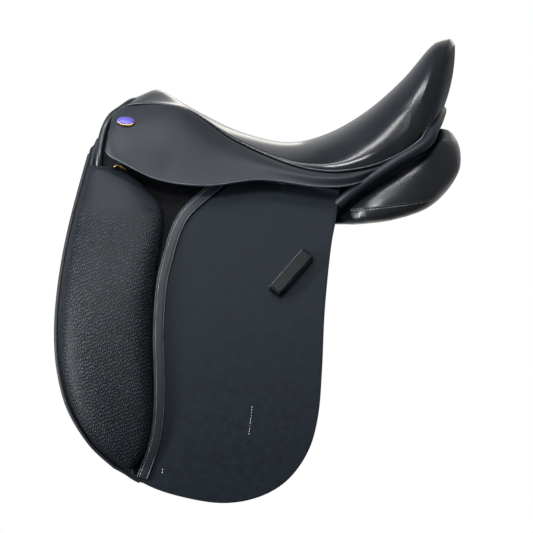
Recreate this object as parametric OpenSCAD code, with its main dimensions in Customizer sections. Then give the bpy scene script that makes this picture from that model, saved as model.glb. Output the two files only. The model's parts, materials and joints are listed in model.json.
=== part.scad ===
// Dressage saddle with outside knee blocks, built up from its tree:
// tree and springs, webs, foam and seat leather above, panels below,
// and on each side a skirt, a flap, a sweat flap, girth straps and a stirrup bar.
// The pommel points to -X, the near side is -Y and Z is up. The origin lies on
// the middle plane, under the lowest point of the seat, at the level where the
// panels bear on the back of the horse.

/* [Seat] */
// Seat size, from the nail button to the middle of the cantle
seat_size = 445; // [430:1:460]
// Rise of the pommel above the lowest point of the seat
pommel_rise = 64; // [60:1:70]
// Rise of the cantle above the lowest point of the seat
cantle_rise = 135; // [125:1:145]
// Fall of the edge of the seat below its lowest point
edge_drop = 36; // [32:1:40]
// Height of the lowest point of the seat above the bearing level
seat_h = 108; // [106:1:114]
// Width of the seat at its widest
seat_w = 252; // [246:1:260]
// Width of the seat at the twist
twist_w = 144; // [138:1:150]
// Thickness of the seat leather
seat_leather = 2.4; // [1.6:0.1:2.8]
// Thickness of the seat foam
foam_t = 17; // [14:0.5:18]
// Diameter of the welt between seat and skirt
welt_d = 5; // [4:0.5:6]

/* [Tree] */
// Thickness of the laminated tree
tree_t = 10; // [8:0.5:11]
// Thickness of the steel gullet plate and springs
plate_t = 2.5; // [1.5:0.1:3]
// Thickness of the seat webs
web_t = 1.8; // [1.2:0.1:2.2]
// Thickness of the tree points
point_t = 12; // [10:0.5:12.5]

/* [Skirts and flaps] */
// Thickness of the skirt leather
skirt_t = 3.6; // [3:0.1:4]
// Gap between flap and lower edge of the skirt
skirt_gap = 24; // [22.5:0.5:25]
// Outward swell of the skirt over the stirrup bar
skirt_swell = 13; // [12:0.5:16]
// Thickness of the flap leather
flap_t = 4.5; // [3.5:0.1:5]
// Length of the flap below the front end of its bend line
flap_len = 441; // [425:1:450]
// Width of the flap
flap_w = 365.5; // [355:0.5:370]
// Half width over the flaps at their lower edge
flap_half_span = 240; // [232:1:248]
// Slope of the flaps from the vertical at their lower edge
flap_slope = 4; // [2:0.5:6]
// Radius that the flaps follow round the horse
barrel_r = 916; // [880:1:960]
// Thickness of the sweat flap
sweat_t = 3.5; // [2.5:0.1:4]
// Step by which the sweat flap shows in front of the flap
sweat_step = 7; // [4:0.5:9]
// Greatest thickness of the knee block
block_t = 24; // [16:0.5:28]
// Width of the binding strip behind the knee block
strip_w = 15; // [10:0.5:18]
// Thickness of the binding strip
strip_t = 1.6; // [1:0.1:2]

/* [Stirrup bars] */
// Diameter of the stirrup bar
bar_d = 10; // [8:0.5:11]
// Length of the bar that the stirrup leather can sit on
bar_len = 60; // [50:1:64]
// Gap between bar and plate
bar_gap = 8.5; // [7:0.5:9.5]
// Thickness of the bar plate
bar_plate_t = 3.5; // [2.5:0.1:4]
// Length of the safety catch
catch_len = 18; // [14:0.5:20]
// Diameter of the catch pin
catch_pin_d = 3; // [2.5:0.1:3.5]
// Diameter of the rivets
rivet_d = 6; // [4.5:0.5:7]

/* [Girth straps] */
// Width of a girth strap
strap_w = 28; // [24:0.5:30]
// Thickness of a girth strap
strap_t = 4.5; // [3.5:0.1:5]
// Length of a girth strap
strap_len = 275; // [240:1:282]
// Diameter of the punched holes
hole_d = 6; // [5:0.5:7]
// Distance between the punched holes
hole_pitch = 25; // [22:0.5:27]
// Number of punched holes in a strap
hole_count = 7; // [5:1:8]

/* [Panels] */
// Width of the channel between the panels
channel_w = 72; // [66:1:76]
// Width over the panels under the cantle
panel_w = 262; // [254:1:266]
// Diameter of the roll round the top of the panels
roll_d = 12; // [10:0.5:13]

/* [Fittings] */
// Length of the stirrup leather keeper
keeper_len = 72; // [56:1:80]
// Width of the stirrup leather keeper
keeper_w = 16; // [14:0.5:20]
// Height of the gap under the keeper
keeper_gap = 8; // [7:0.5:10]
// Length of the oval nail button
button_l = 24; // [20:1:32]
// Width of the oval nail button
button_w = 15; // [12:1:20]
// Inner radius of the dee
dee_r = 10; // [8:0.5:11]
// Wire diameter of the dee
dee_wire = 4; // [3:0.5:4.5]

/* [Hidden] */

// Clearance between pieces that lie on each other
gap = 0.3;
// Clearance round a pin that turns
run_gap = 0.08;
round_fn = 48;
barrel_fn = 256;

black_leather = [0.10, 0.11, 0.13];
grain_leather = [0.08, 0.09, 0.10];
blue_enamel = [0.30, 0.27, 0.62];
brass = [0.72, 0.55, 0.22];
steel = [0.62, 0.63, 0.65];
beech = [0.55, 0.38, 0.22];
foam_grey = [0.45, 0.45, 0.47];
web_white = [0.80, 0.78, 0.72];

// Curves
function mix(a, b, t) = a + (b - a) * t;
function unit(v) = v / norm(v);
function pick(p, i) = p[max(0, min(len(p) - 1, i))];
// Point of the smooth curve through p, from u = 0 at its start to u = 1 at its end
function curve_at(p, u) =
    let (
        s = u * (len(p) - 1),
        i = max(0, min(len(p) - 2, floor(s))),
        t = s - i,
        a = pick(p, i - 1), b = p[i], c = p[i + 1], d = pick(p, i + 2)
    )
    b + 0.5 * t * ((c - a) + t * ((2 * a - 5 * b + 4 * c - d) + t * (3 * b - a - 3 * c + d)));
function curve(p, n) = [for (k = [0:n]) curve_at(p, k / n)];
// Point of the smooth closed curve through p, with u from 0 to 1 once round
function ring_at(p, u) =
    let (
        n = len(p), s = u * n, i = floor(s), t = s - i,
        a = p[(i + n - 1) % n], b = p[i % n], c = p[(i + 1) % n], d = p[(i + 2) % n]
    )
    b + 0.5 * t * ((c - a) + t * ((2 * a - 5 * b + 4 * c - d) + t * (3 * b - a - 3 * c + d)));
function ring(p, n) = [for (k = [0:n - 1]) ring_at(p, k / n)];

// Solids from grids and rings
function flat(g) = [for (row = g) for (p = row) p];
// Closed sheet between an outer and an inner grid of points
module slab(outer, inner) {
    nu = len(outer) - 1;
    nv = len(outer[0]) - 1;
    half = (nu + 1) * (nv + 1);
    function a(i, j) = i * (nv + 1) + j;
    function b(i, j) = half + a(i, j);
    polyhedron(
        points = concat(flat(outer), flat(inner)),
        faces = concat(
            [for (i = [0:nu - 1]) for (j = [0:nv - 1]) for (f = [
                [a(i, j), a(i, j + 1), a(i + 1, j + 1)], [a(i, j), a(i + 1, j + 1), a(i + 1, j)],
                [b(i, j), b(i + 1, j + 1), b(i, j + 1)], [b(i, j), b(i + 1, j), b(i + 1, j + 1)]
            ]) f],
            [for (j = [0:nv - 1]) for (f = [
                [a(0, j), b(0, j), b(0, j + 1)], [a(0, j), b(0, j + 1), a(0, j + 1)],
                [a(nu, j), b(nu, j + 1), b(nu, j)], [a(nu, j), a(nu, j + 1), b(nu, j + 1)]
            ]) f],
            [for (i = [0:nu - 1]) for (f = [
                [a(i, 0), a(i + 1, 0), b(i + 1, 0)], [a(i, 0), b(i + 1, 0), b(i, 0)],
                [a(i, nv), b(i + 1, nv), a(i + 1, nv)], [a(i, nv), b(i, nv), b(i + 1, nv)]
            ]) f]
        )
    );
}
// Closed skin over a row of rings with equal counts of points
module skin(rings) {
    n = len(rings) - 1;
    m = len(rings[0]);
    polyhedron(
        points = flat(rings),
        faces = concat(
            [for (i = [0:n - 1]) for (j = [0:m - 1]) let (k = (j + 1) % m) for (f = [
                [i * m + j, (i + 1) * m + j, (i + 1) * m + k], [i * m + j, (i + 1) * m + k, i * m + k]
            ]) f],
            [for (j = [1:m - 2]) [0, j, j + 1]],
            [for (j = [1:m - 2]) [n * m, n * m + j + 1, n * m + j]]
        )
    );
}
// Round cord of diameter d along a path that never runs straight up
module cord(path, d, sides) {
    last = len(path) - 1;
    skin([for (i = [0:last])
        let (
            along = unit(path[min(last, i + 1)] - path[max(0, i - 1)]),
            side = unit(cross([0, 0, 1], along)),
            up = cross(along, side)
        )
        [for (k = [0:sides - 1]) let (a = 360 * k / sides) path[i] + d / 2 * (cos(a) * side + sin(a) * up)]
    ]);
}
module both(side) {
    if (side == "left") mirror([0, 1, 0]) children();
    else children();
}

// Seat surface. Every layer of the seat is an offset of it, to its own depth.
// Height of the nail button above the lowest point of the seat
nail_rise = 27;
// Distance of the nail button from the middle plane
nail_out = 75;
seat_run = sqrt(pow(seat_size, 2) - pow(cantle_rise - nail_rise, 2) - pow(nail_out, 2));
// Middle line: [share of the seat run, share of the pommel rise, share of the cantle rise]
seat_middle = [
    [-0.43, 1, 0], [-0.375, 0.99, 0], [-0.266, 0.61, 0], [-0.142, 0.217, 0], [0, 0, 0], [0.12, 0, 0.074],
    [0.245, 0, 0.292], [0.36, 0, 0.607], [0.446, 0, 0.922], [0.49, 0, 1], [0.522, 0, 0.947]
];
// Edge: [share of the seat run, share of the way from twist to full width,
//        share of the pommel rise, share of the edge drop, share of the cantle rise]
seat_edge = [
    [-0.536, -0.18, 0.53, 0, 0], [-0.468, -0.11, 0.79, 0, 0], [-0.312, 0, 0.69, 0, 0],
    [-0.158, 0.18, 0.07, 0, 0], [0, 0.57, 0, 0.69, 0], [0.13, 0.93, 0, 1, 0], [0.254, 1, 0, 0.83, 0],
    [0.347, 0.85, 0, 0.38, 0], [0.4, 0.7, 0, 0, 0.01], [0.421, 0.61, 0, 0, 0.08], [0.437, 0.48, 0, 0, 0.16]
];
// How late the seat rolls over to its edge
seat_roll = 2.4;
middle_pts = [for (m = seat_middle)
    [m[0] * seat_run, 0, seat_h + m[1] * pommel_rise + m[2] * cantle_rise]];
edge_pts = [for (e = seat_edge) [
    e[0] * seat_run,
    mix(twist_w, seat_w, e[1]) / 2,
    seat_h + e[2] * pommel_rise - e[3] * edge_drop + e[4] * cantle_rise
]];
function seat_point(u, v) =
    let (c = curve_at(middle_pts, u), e = curve_at(edge_pts, u), w = abs(v))
    [mix(c.x, e.x, w * w), e.y * v, mix(c.z, e.z, pow(w, seat_roll))];
fd = 0.004;
function seat_normal(u, v) = unit(cross(
    seat_point(u + fd, v) - seat_point(u - fd, v), seat_point(u, v + fd) - seat_point(u, v - fd)));
function seat_at(u, v, depth) = seat_point(u, v) - depth * seat_normal(u, v);
function seat_grid(us, vs, depth) = [for (u = us) [for (v = vs) seat_at(u, v, depth)]];
// Layer of the seat between two depths, over lists of u and v
module seat_layer(us, vs, top, bottom) {
    slab(seat_grid(us, vs, top), seat_grid(us, vs, bottom));
}
function span(a, b, n) = [for (k = [0:n]) mix(a, b, k / n)];
function within(list, low, high) = [for (x = list) max(low, min(high, x))];
// Stations that leather, foam, welt and skirt share, closer together over the cantle
skirt_share = 0.735;
skirt_us = span(0, skirt_share, 24);
seat_us = concat(skirt_us, [for (k = [1:8]) mix(skirt_share, 1, k / 8)]);
seat_vs = span(-1, 1, 16);
foam_top = seat_leather + 2 * gap;
foam_low = foam_top + foam_t;
web_top = foam_low + gap;
tree_top = web_top + web_t + gap;
tree_low = tree_top + tree_t;
plate_top = tree_low + gap;
// Ends of the tree parts along the seat
head_u = [0.03, 0.2];
cantle_u = [0.72, 0.8];
rail_v = [0.5, 0.86];
glue_u = 0.002;
rail_us = span(head_u[1] + glue_u, cantle_u[0] - glue_u, 14);
rail_vs = span(rail_v[0], rail_v[1], 3);

// Barrel curve that flaps, sweat flaps and girth straps follow on each side
// Height of the front end of the flap's bend line above the bearing level
flap_top_z = 77.5;
hem_z = flap_top_z - flap_len;
barrel_z0 = hem_z - barrel_r * sin(flap_slope);
barrel_y0 = flap_half_span - barrel_r * cos(flap_slope);
function barrel_y(z, n) = barrel_y0 + sqrt(pow(barrel_r + n, 2) - pow(z - barrel_z0, 2));
function barrel_tilt(z, n) = asin((z - barrel_z0) / (barrel_r + n));
function barrel_at(p, n) = [p[0], barrel_y(p[1], n), p[1]];
// Sheet from depth n0 to n1 outside the barrel curve, cut to a side view outline
module barrel_sheet(n0, n1) {
    reach = 2 * flap_half_span;
    intersection() {
        translate([0, reach, 0]) rotate([90, 0, 0]) linear_extrude(reach) children();
        translate([-reach, 0, 0]) rotate([90, 0, 90]) linear_extrude(2 * reach)
            translate([barrel_y0, barrel_z0]) difference() {
                circle(barrel_r + n1, $fn = barrel_fn);
                circle(barrel_r + n0, $fn = barrel_fn);
            }
    }
}
// Children stand on the barrel sheet at side view point p, with Y as the outward direction
module on_barrel(p, n) {
    translate(barrel_at(p, n)) rotate([barrel_tilt(p[1], n), 0, 0]) children();
}
// Depths of the layers under the flap
strap_clear = 4.5;
strap_n = [-strap_clear - strap_t, -strap_clear];
// Room that the flap's edge needs as it turns
bend_gap = 1.1;
point_n = [-bend_gap - point_t, -bend_gap];
sweat_n = [point_n[0] - gap - sweat_t, point_n[0] - gap];
web_n = [sweat_n[1] + gap, strap_n[0] - gap];

// Side view outline of the flap
flap_front_x = -0.6935 * seat_run;
// Side view point from shares of the flap's width and length
function flap_xz(p) = [flap_front_x + flap_w * p[0], flap_top_z - flap_len * p[1]];
// Ends of the line on which the flap bends
bend_front = [0.104, 0];
bend_rear = [1, 0.074];
flap_front_edge = [bend_front, [0.068, 0.119], [0.032, 0.252], [0.008, 0.386], [0, 0.504], [0.011, 0.615],
    [0.047, 0.724], [0.123, 0.826], [0.208, 0.885]];
flap_lower_edge = [[0.208, 0.885], [0.305, 0.944], [0.427, 0.98], [0.577, 1], [0.706, 0.983],
    [0.81, 0.933], [0.885, 0.847], [0.921, 0.742], [0.935, 0.608], [0.945, 0.431], [0.966, 0.252],
    [0.984, 0.164], bend_rear];
flap_rim = [for (p = concat(curve(flap_front_edge, 32), curve(flap_lower_edge, 48))) flap_xz(p)];
// Height of the bend line at x
function bend_z(x) =
    let (a = flap_xz(bend_front), b = flap_xz(bend_rear)) mix(a[1], b[1], (x - a[0]) / (b[0] - a[0]));

// Tree. The depth of the head runs square to the seat at its rear end and straight down in front.
function head_way(u, v) =
    unit(mix([0, 0, 1], seat_normal(u, v), max(0, (u - head_u[0]) / (head_u[1] - head_u[0]))));
function head_at(u, v, depth) =
    let (way = head_way(u, v)) seat_point(u, v) - depth / (way * seat_normal(u, v)) * way;
function head_grid(us, vs, depth) = [for (u = us) [for (v = vs) head_at(u, v, depth)]];
head_us = span(head_u[0], head_u[1], 6);
head_vs = span(-0.98, 0.98, 16);
module tree_head() {
    color(beech) slab(head_grid(head_us, head_vs, tree_top), head_grid(head_us, head_vs, tree_low));
}
module tree_rail(side) {
    color(beech) both(side) seat_layer(rail_us, rail_vs, tree_top, tree_low);
}
module tree_cantle() {
    color(beech) seat_layer(span(cantle_u[0], cantle_u[1], 4), span(-rail_v[1], rail_v[1], 20),
        tree_top, tree_low);
}
// Points of the tree reach down from the head and carry the stirrup bars
point_top = seat_at(0.14, 0.93, tree_low).z - 3 * gap;
bar_p = [-0.366 * seat_run, 80];
bar_plate_h = 20;
plate_x = [-40, bar_len + catch_len + 2];
bar_low_z = bar_p[1] - (bar_plate_h / 2 + 3) * cos(barrel_tilt(bar_p[1], 0));
bar_up_z = bar_p[1] + (bar_plate_h / 2 + 3) * cos(barrel_tilt(bar_p[1], 0));
// Reach of a point in front of its stirrup bar, and its fall below the bar
point_reach = 53;
point_fall = 50;
// Point of the outline from shares of that reach and fall
function point_xz(p) = [bar_p[0] - point_reach * p[0], bar_p[1] - point_fall * p[1]];
point_rim = concat(
    [[point_xz([0.72, 0])[0], point_top]],
    [for (p = [[1, -0.24], [0.91, 0.6], [0.79, 0.88], [0.6, 1], [0.34, 0.96], [0.15, 0.68]]) point_xz(p)],
    [[point_xz([0.04, 0])[0], bar_low_z], [bar_p[0] + plate_x[1] + 4, bar_low_z],
        [bar_p[0] + plate_x[1] + 4, bar_up_z], [point_xz([-0.38, 0])[0], bar_up_z + 6],
        [point_xz([0.15, 0])[0], point_top]]
);
rivet_at = [for (x = [plate_x[0] + 9, plate_x[1] - 8]) for (z = [6, -2]) [x, z]];
module rivet_row(d, depth) {
    on_barrel(bar_p, point_n[1]) for (r = rivet_at)
        translate([r[0], gap + bar_plate_t, r[1]]) rotate([90, 0, 0])
            cylinder(d = d, h = depth, $fn = round_fn);
}
module tree_point(side) {
    color(beech) both(side) difference() {
        barrel_sheet(point_n[0], point_n[1]) polygon(point_rim);
        rivet_row(rivet_d + 2 * run_gap, 3 * point_t);
    }
}
plate_us = [head_us[1], head_us[2], head_us[3]];
module gullet_plate() {
    us = plate_us;
    vs = [for (v = head_vs) if (abs(v) < 0.65) v];
    color(steel) slab(head_grid(us, vs, plate_top), head_grid(us, vs, plate_top + plate_t));
}
// Rivet heads under the gullet plate, in a row across it
gullet_rivet_v = [-0.45, -0.17, 0.17, 0.45];
gullet_rivet_d = [7, 4];
gullet_rivet_h = 2.4;
// Room that the flat head needs under the bent plate
gullet_rivet_gap = 1.7;
module gullet_rivets() {
    u = plate_us[1];
    color(steel) for (v = gullet_rivet_v)
        let (n = seat_normal(u, v))
        translate(head_at(u, v, plate_top + plate_t + gullet_rivet_gap))
            rotate([0, acos(-n.z), atan2(-n.y, -n.x)])
            cylinder(d1 = gullet_rivet_d[0], d2 = gullet_rivet_d[1], h = gullet_rivet_h, $fn = round_fn);
}
module spring(side) {
    color(steel) both(side) seat_layer(rail_us, [rail_vs[1], rail_vs[2]], plate_top, plate_top + plate_t);
}

// Seat
module seat_web_long() {
    us = [for (u = seat_us) if (u > head_u[1] - 0.07 && u < cantle_u[1] - 0.02) u];
    color(web_white) seat_layer(us, [for (v = seat_vs) if (abs(v) < 0.3) v], web_top, web_top + web_t);
}
module seat_web_cross() {
    color(web_white) seat_layer(span(0.44, 0.54, 4), span(-rail_v[0] + 0.008, rail_v[0] - 0.008, 8),
        tree_top, tree_top + web_t);
}
// The foam thins out towards the top of the cantle
function foam_share(u) = u < 0.74 ? 1 : mix(1, 0.3, min(1, (u - 0.74) / 0.19));
module seat_foam() {
    us = within(seat_us, 0.012, 0.985);
    vs = within(seat_vs, -0.98, 0.98);
    low = [for (u = us) [for (v = vs) seat_at(u, v, foam_top + foam_t * foam_share(u))]];
    color(foam_grey) slab(seat_grid(us, vs, foam_top), low);
}
module seat_cover() {
    color(black_leather) seat_layer(seat_us, seat_vs, 0, seat_leather);
}
// Outward direction along the seat at its edge
function edge_out(u) = unit(cross(seat_normal(u, 1), seat_point(u + fd, 1) - seat_point(u - fd, 1)));
function welt_line(u) = seat_at(u, 1, seat_leather / 2) + (welt_d / 2 + gap) * edge_out(u);
module welt(side) {
    color(black_leather) both(side) cord([for (u = seat_us) if (u < 0.96) welt_line(u)], welt_d, 8);
}

// Facings of pommel and cantle
facing_t = 3;
facing_fall = 44;
facing_bulge = 2.2;
// Setback and drop of its top edge from the front of the seat, and where its lower edge turns to
facing_step = [1.6, 2.6];
facing_turn = [1.8, -28];
function arch_at(v, s) = seat_point(0, v) - [facing_step[0] + facing_t, 0, facing_step[1]]
    + s * [facing_turn[0], facing_turn[1] * v, facing_step[1] - facing_fall]
    - [4 * facing_bulge * s * (1 - s), 0, 0];
function arch_way(v, s) =
    unit(cross(arch_at(v + fd, s) - arch_at(v - fd, s), arch_at(v, s + fd) - arch_at(v, s - fd)));
module front_facing() {
    n = [4, 24];
    spots = [for (i = [0:n[0]]) [for (j = [0:n[1]]) [1 - 2 * j / n[1], i / n[0]]]];
    color(black_leather) slab([for (row = spots) [for (q = row) arch_at(q[0], q[1])]],
        [for (row = spots) [for (q = row) arch_at(q[0], q[1]) - facing_t * arch_way(q[0], q[1])]]);
}
// Line along which the rear facing meets the roll of the panels
// Its middle as shares of the seat run and the cantle rise, and how far it reaches and falls to its ends
facing_mid = [0.489, 0.337];
facing_ends = [27, 103, 46.5];
rear_bulge = 4;
function facing_low(v) = [
    facing_mid[0] * seat_run - facing_ends[0] * v * v, facing_ends[1] * v,
    seat_h + facing_mid[1] * cantle_rise - facing_ends[2] * v * v
];
function facing_top(v) = seat_point(1, v) + 0.7 * unit(seat_point(1, v) - seat_point(1 - fd, v));
module rear_facing() {
    n = [6, 16];
    outer = [for (i = [0:n[0]]) [for (j = [0:n[1]])
        let (v = -1 + 2 * j / n[1], s = i / n[0])
        mix(facing_top(v), facing_low(v), s) + [4 * rear_bulge * s * (1 - s), 0, 0]]];
    inner = [for (i = [0:n[0]]) [for (j = [0:n[1]])
        let (v = -1 + 2 * j / n[1], way = unit(mix(seat_normal(1, v), [1, 0, 0], i / n[0])))
        outer[i][j] - seat_leather * way]];
    color(black_leather) slab(outer, inner);
}

// Skirts. Each is fixed along the welt, and its leaf over the stirrup bar bends up.
// Room that the skirt's turned edge leaves beside the welt
seam_gap = 3;
// Lower edge: [share of the seat run, height above the bearing level], up to its tail
skirt_edge = [[-0.558, 97], [-0.533, 81], [-0.419, 56], [-0.249, 48.5], [-0.074, 57.5], [0.105, 48.5],
    [0.213, 52], [0.299, 70]];
tail_w = 3;
skirt_low_pts = concat(
    [for (i = [0:7]) let (x = skirt_edge[i][0] * seat_run, z = skirt_edge[i][1])
        [x, i < 7 ? barrel_y(z, flap_t + skirt_gap) : edge_pts[i].y + welt_d + 1, z]],
    [skirt_top(1) + tail_w * edge_out(skirt_share)]);
function skirt_top(u) = seat_at(u * skirt_share, 1, seat_leather / 2 - skirt_t / 2)
    + (welt_d + seam_gap) * edge_out(u * skirt_share);
function skirt_bow(u) = skirt_swell * (u < 0.6 ? 1 : (1 - u) / 0.4);
function skirt_point(u, v) = mix(skirt_top(u), curve_at(skirt_low_pts, u), v)
    + [0, 4 * skirt_bow(u) * v * (1 - v), 0];
function skirt_normal(u, v) = unit(cross(
    skirt_point(u + fd, v) - skirt_point(u - fd, v), skirt_point(u, v + fd) - skirt_point(u, v - fd)));
function skirt_at(u, v, depth) = skirt_point(u, v) - depth * skirt_normal(u, v);
// Line on which the leaf bends, in side view
leaf_front = [-0.56 * seat_run, 112.7];
leaf_rear = [-0.074 * seat_run, 57.5];
leaf_slope = (leaf_rear[1] - leaf_front[1]) / (leaf_rear[0] - leaf_front[0]);
leaf_end_u = 0.47;
function leaf_v(u) =
    let (a = skirt_top(u), b = curve_at(skirt_low_pts, u))
    (leaf_front[1] + leaf_slope * (a.x - leaf_front[0]) - a.z) / ((b.z - a.z) - leaf_slope * (b.x - a.x));
leaf_gap_v = 0.01;
module skirt_sheet(us, n, ends) {
    spots = [for (i = [0:n[0]]) let (u = mix(us[0], us[1], i / n[0]), e = ends[i])
        [for (j = [0:n[1]]) [u, mix(e[0], e[1], j / n[1])]]];
    slab([for (row = spots) [for (s = row) skirt_at(s[0], s[1], 0)]],
        [for (row = spots) [for (s = row) skirt_at(s[0], s[1], skirt_t)]]);
}
module skirt(side) {
    n = [len(skirt_us) - 1, 5];
    color(black_leather) both(side) skirt_sheet([0, 1], n,
        [for (i = [0:n[0]]) let (u = i / n[0]) [0, u <= leaf_end_u ? leaf_v(u) - leaf_gap_v : 1]]);
}
module skirt_leaf(side) {
    n = [16, 5];
    us = [0, leaf_end_u - 0.004];
    color(black_leather) both(side) skirt_sheet(us, n,
        [for (i = [0:n[0]]) [leaf_v(mix(us[0], us[1], i / n[0])) + leaf_gap_v, 1]]);
}

// Nail button on the front of the skirt
button_uv = [0.128, 0.31];
// Room that the flat foot of the button needs over the rounded skirt
button_foot = 0.55;
// Slant of the button's long axis in the plane of the skirt
button_slant = 98;
button_n = skirt_normal(button_uv[0], button_uv[1]);
module button_place() {
    translate(skirt_at(button_uv[0], button_uv[1], -button_foot))
        rotate([0, acos(button_n.z), atan2(button_n.y, button_n.x)]) rotate([0, 0, button_slant]) children();
}
function oval(l, w) = [for (k = [0:47]) [l / 2 * cos(7.5 * k), w / 2 * sin(7.5 * k)]];
module button_stud(side) {
    color(brass) both(side) button_place() difference() {
        linear_extrude(2.6) polygon(oval(button_l, button_w));
        translate([0, 0, 1.4]) linear_extrude(3) polygon(oval(button_l - 3, button_w - 3));
    }
}
module button_cap(side) {
    color(blue_enamel) both(side) button_place()
        translate([0, 0, 1.5]) linear_extrude(1.3) polygon(oval(button_l - 3.4, button_w - 3.4));
}

// Flaps and what is sewn to them
bar_cut_x = [bar_p[0] + plate_x[0] - 3, bar_p[0] + plate_x[1] + 3];
// Height of the flap's head above the stirrup bar
head_rise = 22;
module flap_head(side) {
    a = bar_p[0] - 1.25 * point_reach;
    b = 0.08 * seat_run;
    color(black_leather) both(side) barrel_sheet(0, flap_t) difference() {
        polygon([[a, bend_z(a) + gap], [b, bend_z(b) + gap], [b - head_rise / 2, bend_z(b) + head_rise / 4],
            [bar_cut_x[1] + head_rise, bar_p[1] - head_rise / 10],
            [bar_cut_x[1] - head_rise / 2, bar_p[1] + 0.6 * head_rise],
            [bar_p[0] + head_rise, bar_p[1] + 0.9 * head_rise],
            [bar_p[0] - 2 * head_rise, bar_p[1] + head_rise], [a, bend_z(a) + 0.6 * head_rise]]);
        translate([bar_cut_x[0], bar_low_z]) square([bar_cut_x[1] - bar_cut_x[0], bar_up_z - bar_low_z]);
    }
}
module flap(side) {
    color(black_leather) both(side) barrel_sheet(0, flap_t) polygon(flap_rim);
}
// Knee block: pairs of points on its front and rear edge, with a share of its thickness
block_edges = [
    [[0.112, 0.006], [0.187, 0.012], 0.08], [[0.093, 0.056], [0.258, 0.03], 0.1],
    [[0.075, 0.119], [0.319, 0.077], 0.1], [[0.05, 0.211], [0.362, 0.116], 0.31],
    [[0.029, 0.306], [0.366, 0.169], 0.72], [[0.0145, 0.401], [0.341, 0.258], 0.92],
    [[0.0074, 0.496], [0.315, 0.371], 1], [[0.0145, 0.594], [0.305, 0.505], 1],
    [[0.04, 0.692], [0.312, 0.653], 0.95], [[0.086, 0.778], [0.323, 0.751], 0.82],
    [[0.154, 0.844], [0.308, 0.832], 0.62], [[0.219, 0.885], [0.287, 0.879], 0.42],
    [[0.248, 0.904], [0.267, 0.901], 0.25]
];
block_front = [for (e = block_edges) e[0]];
block_rear = [for (e = block_edges) e[1]];
block_share = [for (e = block_edges) e[2]];
// Height of the block over the flap at a share t of the way from its front to its rear edge
function block_h(t) = pow(max(0, 1 - pow(abs(2 * t - 1), 5)), 0.45);
function block_ring(s) =
    let (
        f = flap_xz(curve_at(block_front, s)), r = flap_xz(curve_at(block_rear, s)),
        t_all = [0, 0.03, 0.1, 0.25, 0.45, 0.65, 0.84, 0.95, 1], h = block_t * curve_at(block_share, s)
    )
    concat(
        [for (t = t_all) let (p = mix(f, r, t), a = barrel_tilt(p[1], flap_t + gap))
            barrel_at(p, flap_t + gap) + (1 + h * block_h(t)) * [0, cos(a), sin(a)]],
        [for (t = [1, 0.75, 0.5, 0.25, 0]) barrel_at(mix(f, r, t), flap_t + gap)]
    );
module knee_block(side) {
    color(grain_leather) both(side) skin([for (i = [0:24]) block_ring(i / 24)]);
}
strip_line = [[0.577, 0.065], [0.516, 0.092], [0.448, 0.14], [0.412, 0.193], [0.387, 0.259], [0.36, 0.357],
    [0.349, 0.5], [0.353, 0.639], [0.35, 0.743], [0.337, 0.817], [0.312, 0.882], [0.292, 0.925]];
module binding_strip(side) {
    mid = [for (p = curve(strip_line, 44)) flap_xz(p)];
    last = len(mid) - 1;
    out = [for (i = [0:last])
        let (d = unit(mid[min(last, i + 1)] - mid[max(0, i - 1)])) strip_w / 2 * [-d[1], d[0]]];
    color(black_leather) both(side) barrel_sheet(flap_t + gap, flap_t + gap + strip_t) polygon(concat(
        [for (i = [0:last]) mid[i] + out[i]], [for (i = [0:last]) mid[last - i] - out[last - i]]));
}
// Keeper for the end of the stirrup leather, a strap that bridges the flap at a slant
keeper_p = flap_xz([0.824, 0.323]);
keeper_slant = 51;
keeper_t = 2.4;
// Room under the keeper's ends over the rounded flap
keeper_foot = 0.1;
module keeper(side) {
    rise = keeper_gap + keeper_t;
    end = keeper_len / 2;
    half = [[end - 2 * keeper_t, keeper_gap], [end - keeper_t, keeper_gap - keeper_t],
        [end - keeper_t, keeper_foot], [end, keeper_foot], [end, rise - 2 * keeper_t],
        [end - keeper_t, rise - keeper_t / 2], [end - 2.5 * keeper_t, rise]];
    other = [for (i = [1:len(half)]) let (p = half[len(half) - i]) [-p[0], p[1]]];
    color(black_leather) both(side) on_barrel(keeper_p, flap_t + gap) rotate([0, -keeper_slant, 0])
        translate([0, 0, -keeper_w / 2]) linear_extrude(keeper_w) polygon(concat(half, other));
}
// Loop inside the flap that takes the ends of the girth straps
loop_p = flap_xz([0.672, 0.758]);
loop_h = 31;
loop_l = 110;
loop_leaf = 2;
loop_n = [strap_n[0] - 1.2 - loop_leaf, -gap];
module strap_loop(side) {
    color(black_leather) both(side) difference() {
        barrel_sheet(loop_n[0], loop_n[1])
            translate(loop_p - [loop_l / 2, loop_h / 2]) square([loop_l, loop_h]);
        barrel_sheet(loop_n[0] + loop_leaf, loop_n[1] - loop_leaf)
            translate(loop_p - [loop_l / 2 - 9, loop_h]) square([loop_l - 18, 2 * loop_h]);
    }
}
// Sweat flap under the flap, sewn to the panel and a step wider in front
sweat_share = sweat_step / flap_w;
sweat_edge = concat(
    [[0.137, -0.071], [0.104, -0.05]],
    [for (i = [1:7]) flap_front_edge[i] - [sweat_share, 0]],
    [[0.2 - sweat_share / 2, 0.893], [0.27, 0.935], [0.427, 0.957], [0.577, 0.974], [0.7, 0.957],
        [0.798, 0.906], [0.866, 0.82], [0.898, 0.73], [0.91, 0.608], [0.918, 0.431], [0.93, 0.252],
        [0.945, 0.16], [0.955, 0.1]]
);
sweat_top = [[0.955, 0.1], [0.8, 0.06], [0.5, 0], [0.3, -0.055], [0.2, -0.073], [0.137, -0.071]];
module sweat_flap(side) {
    rim = [for (p = concat(curve(sweat_edge, 72), curve(sweat_top, 12))) flap_xz(p)];
    color(black_leather) both(side) barrel_sheet(sweat_n[0], sweat_n[1]) polygon(rim);
}

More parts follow.
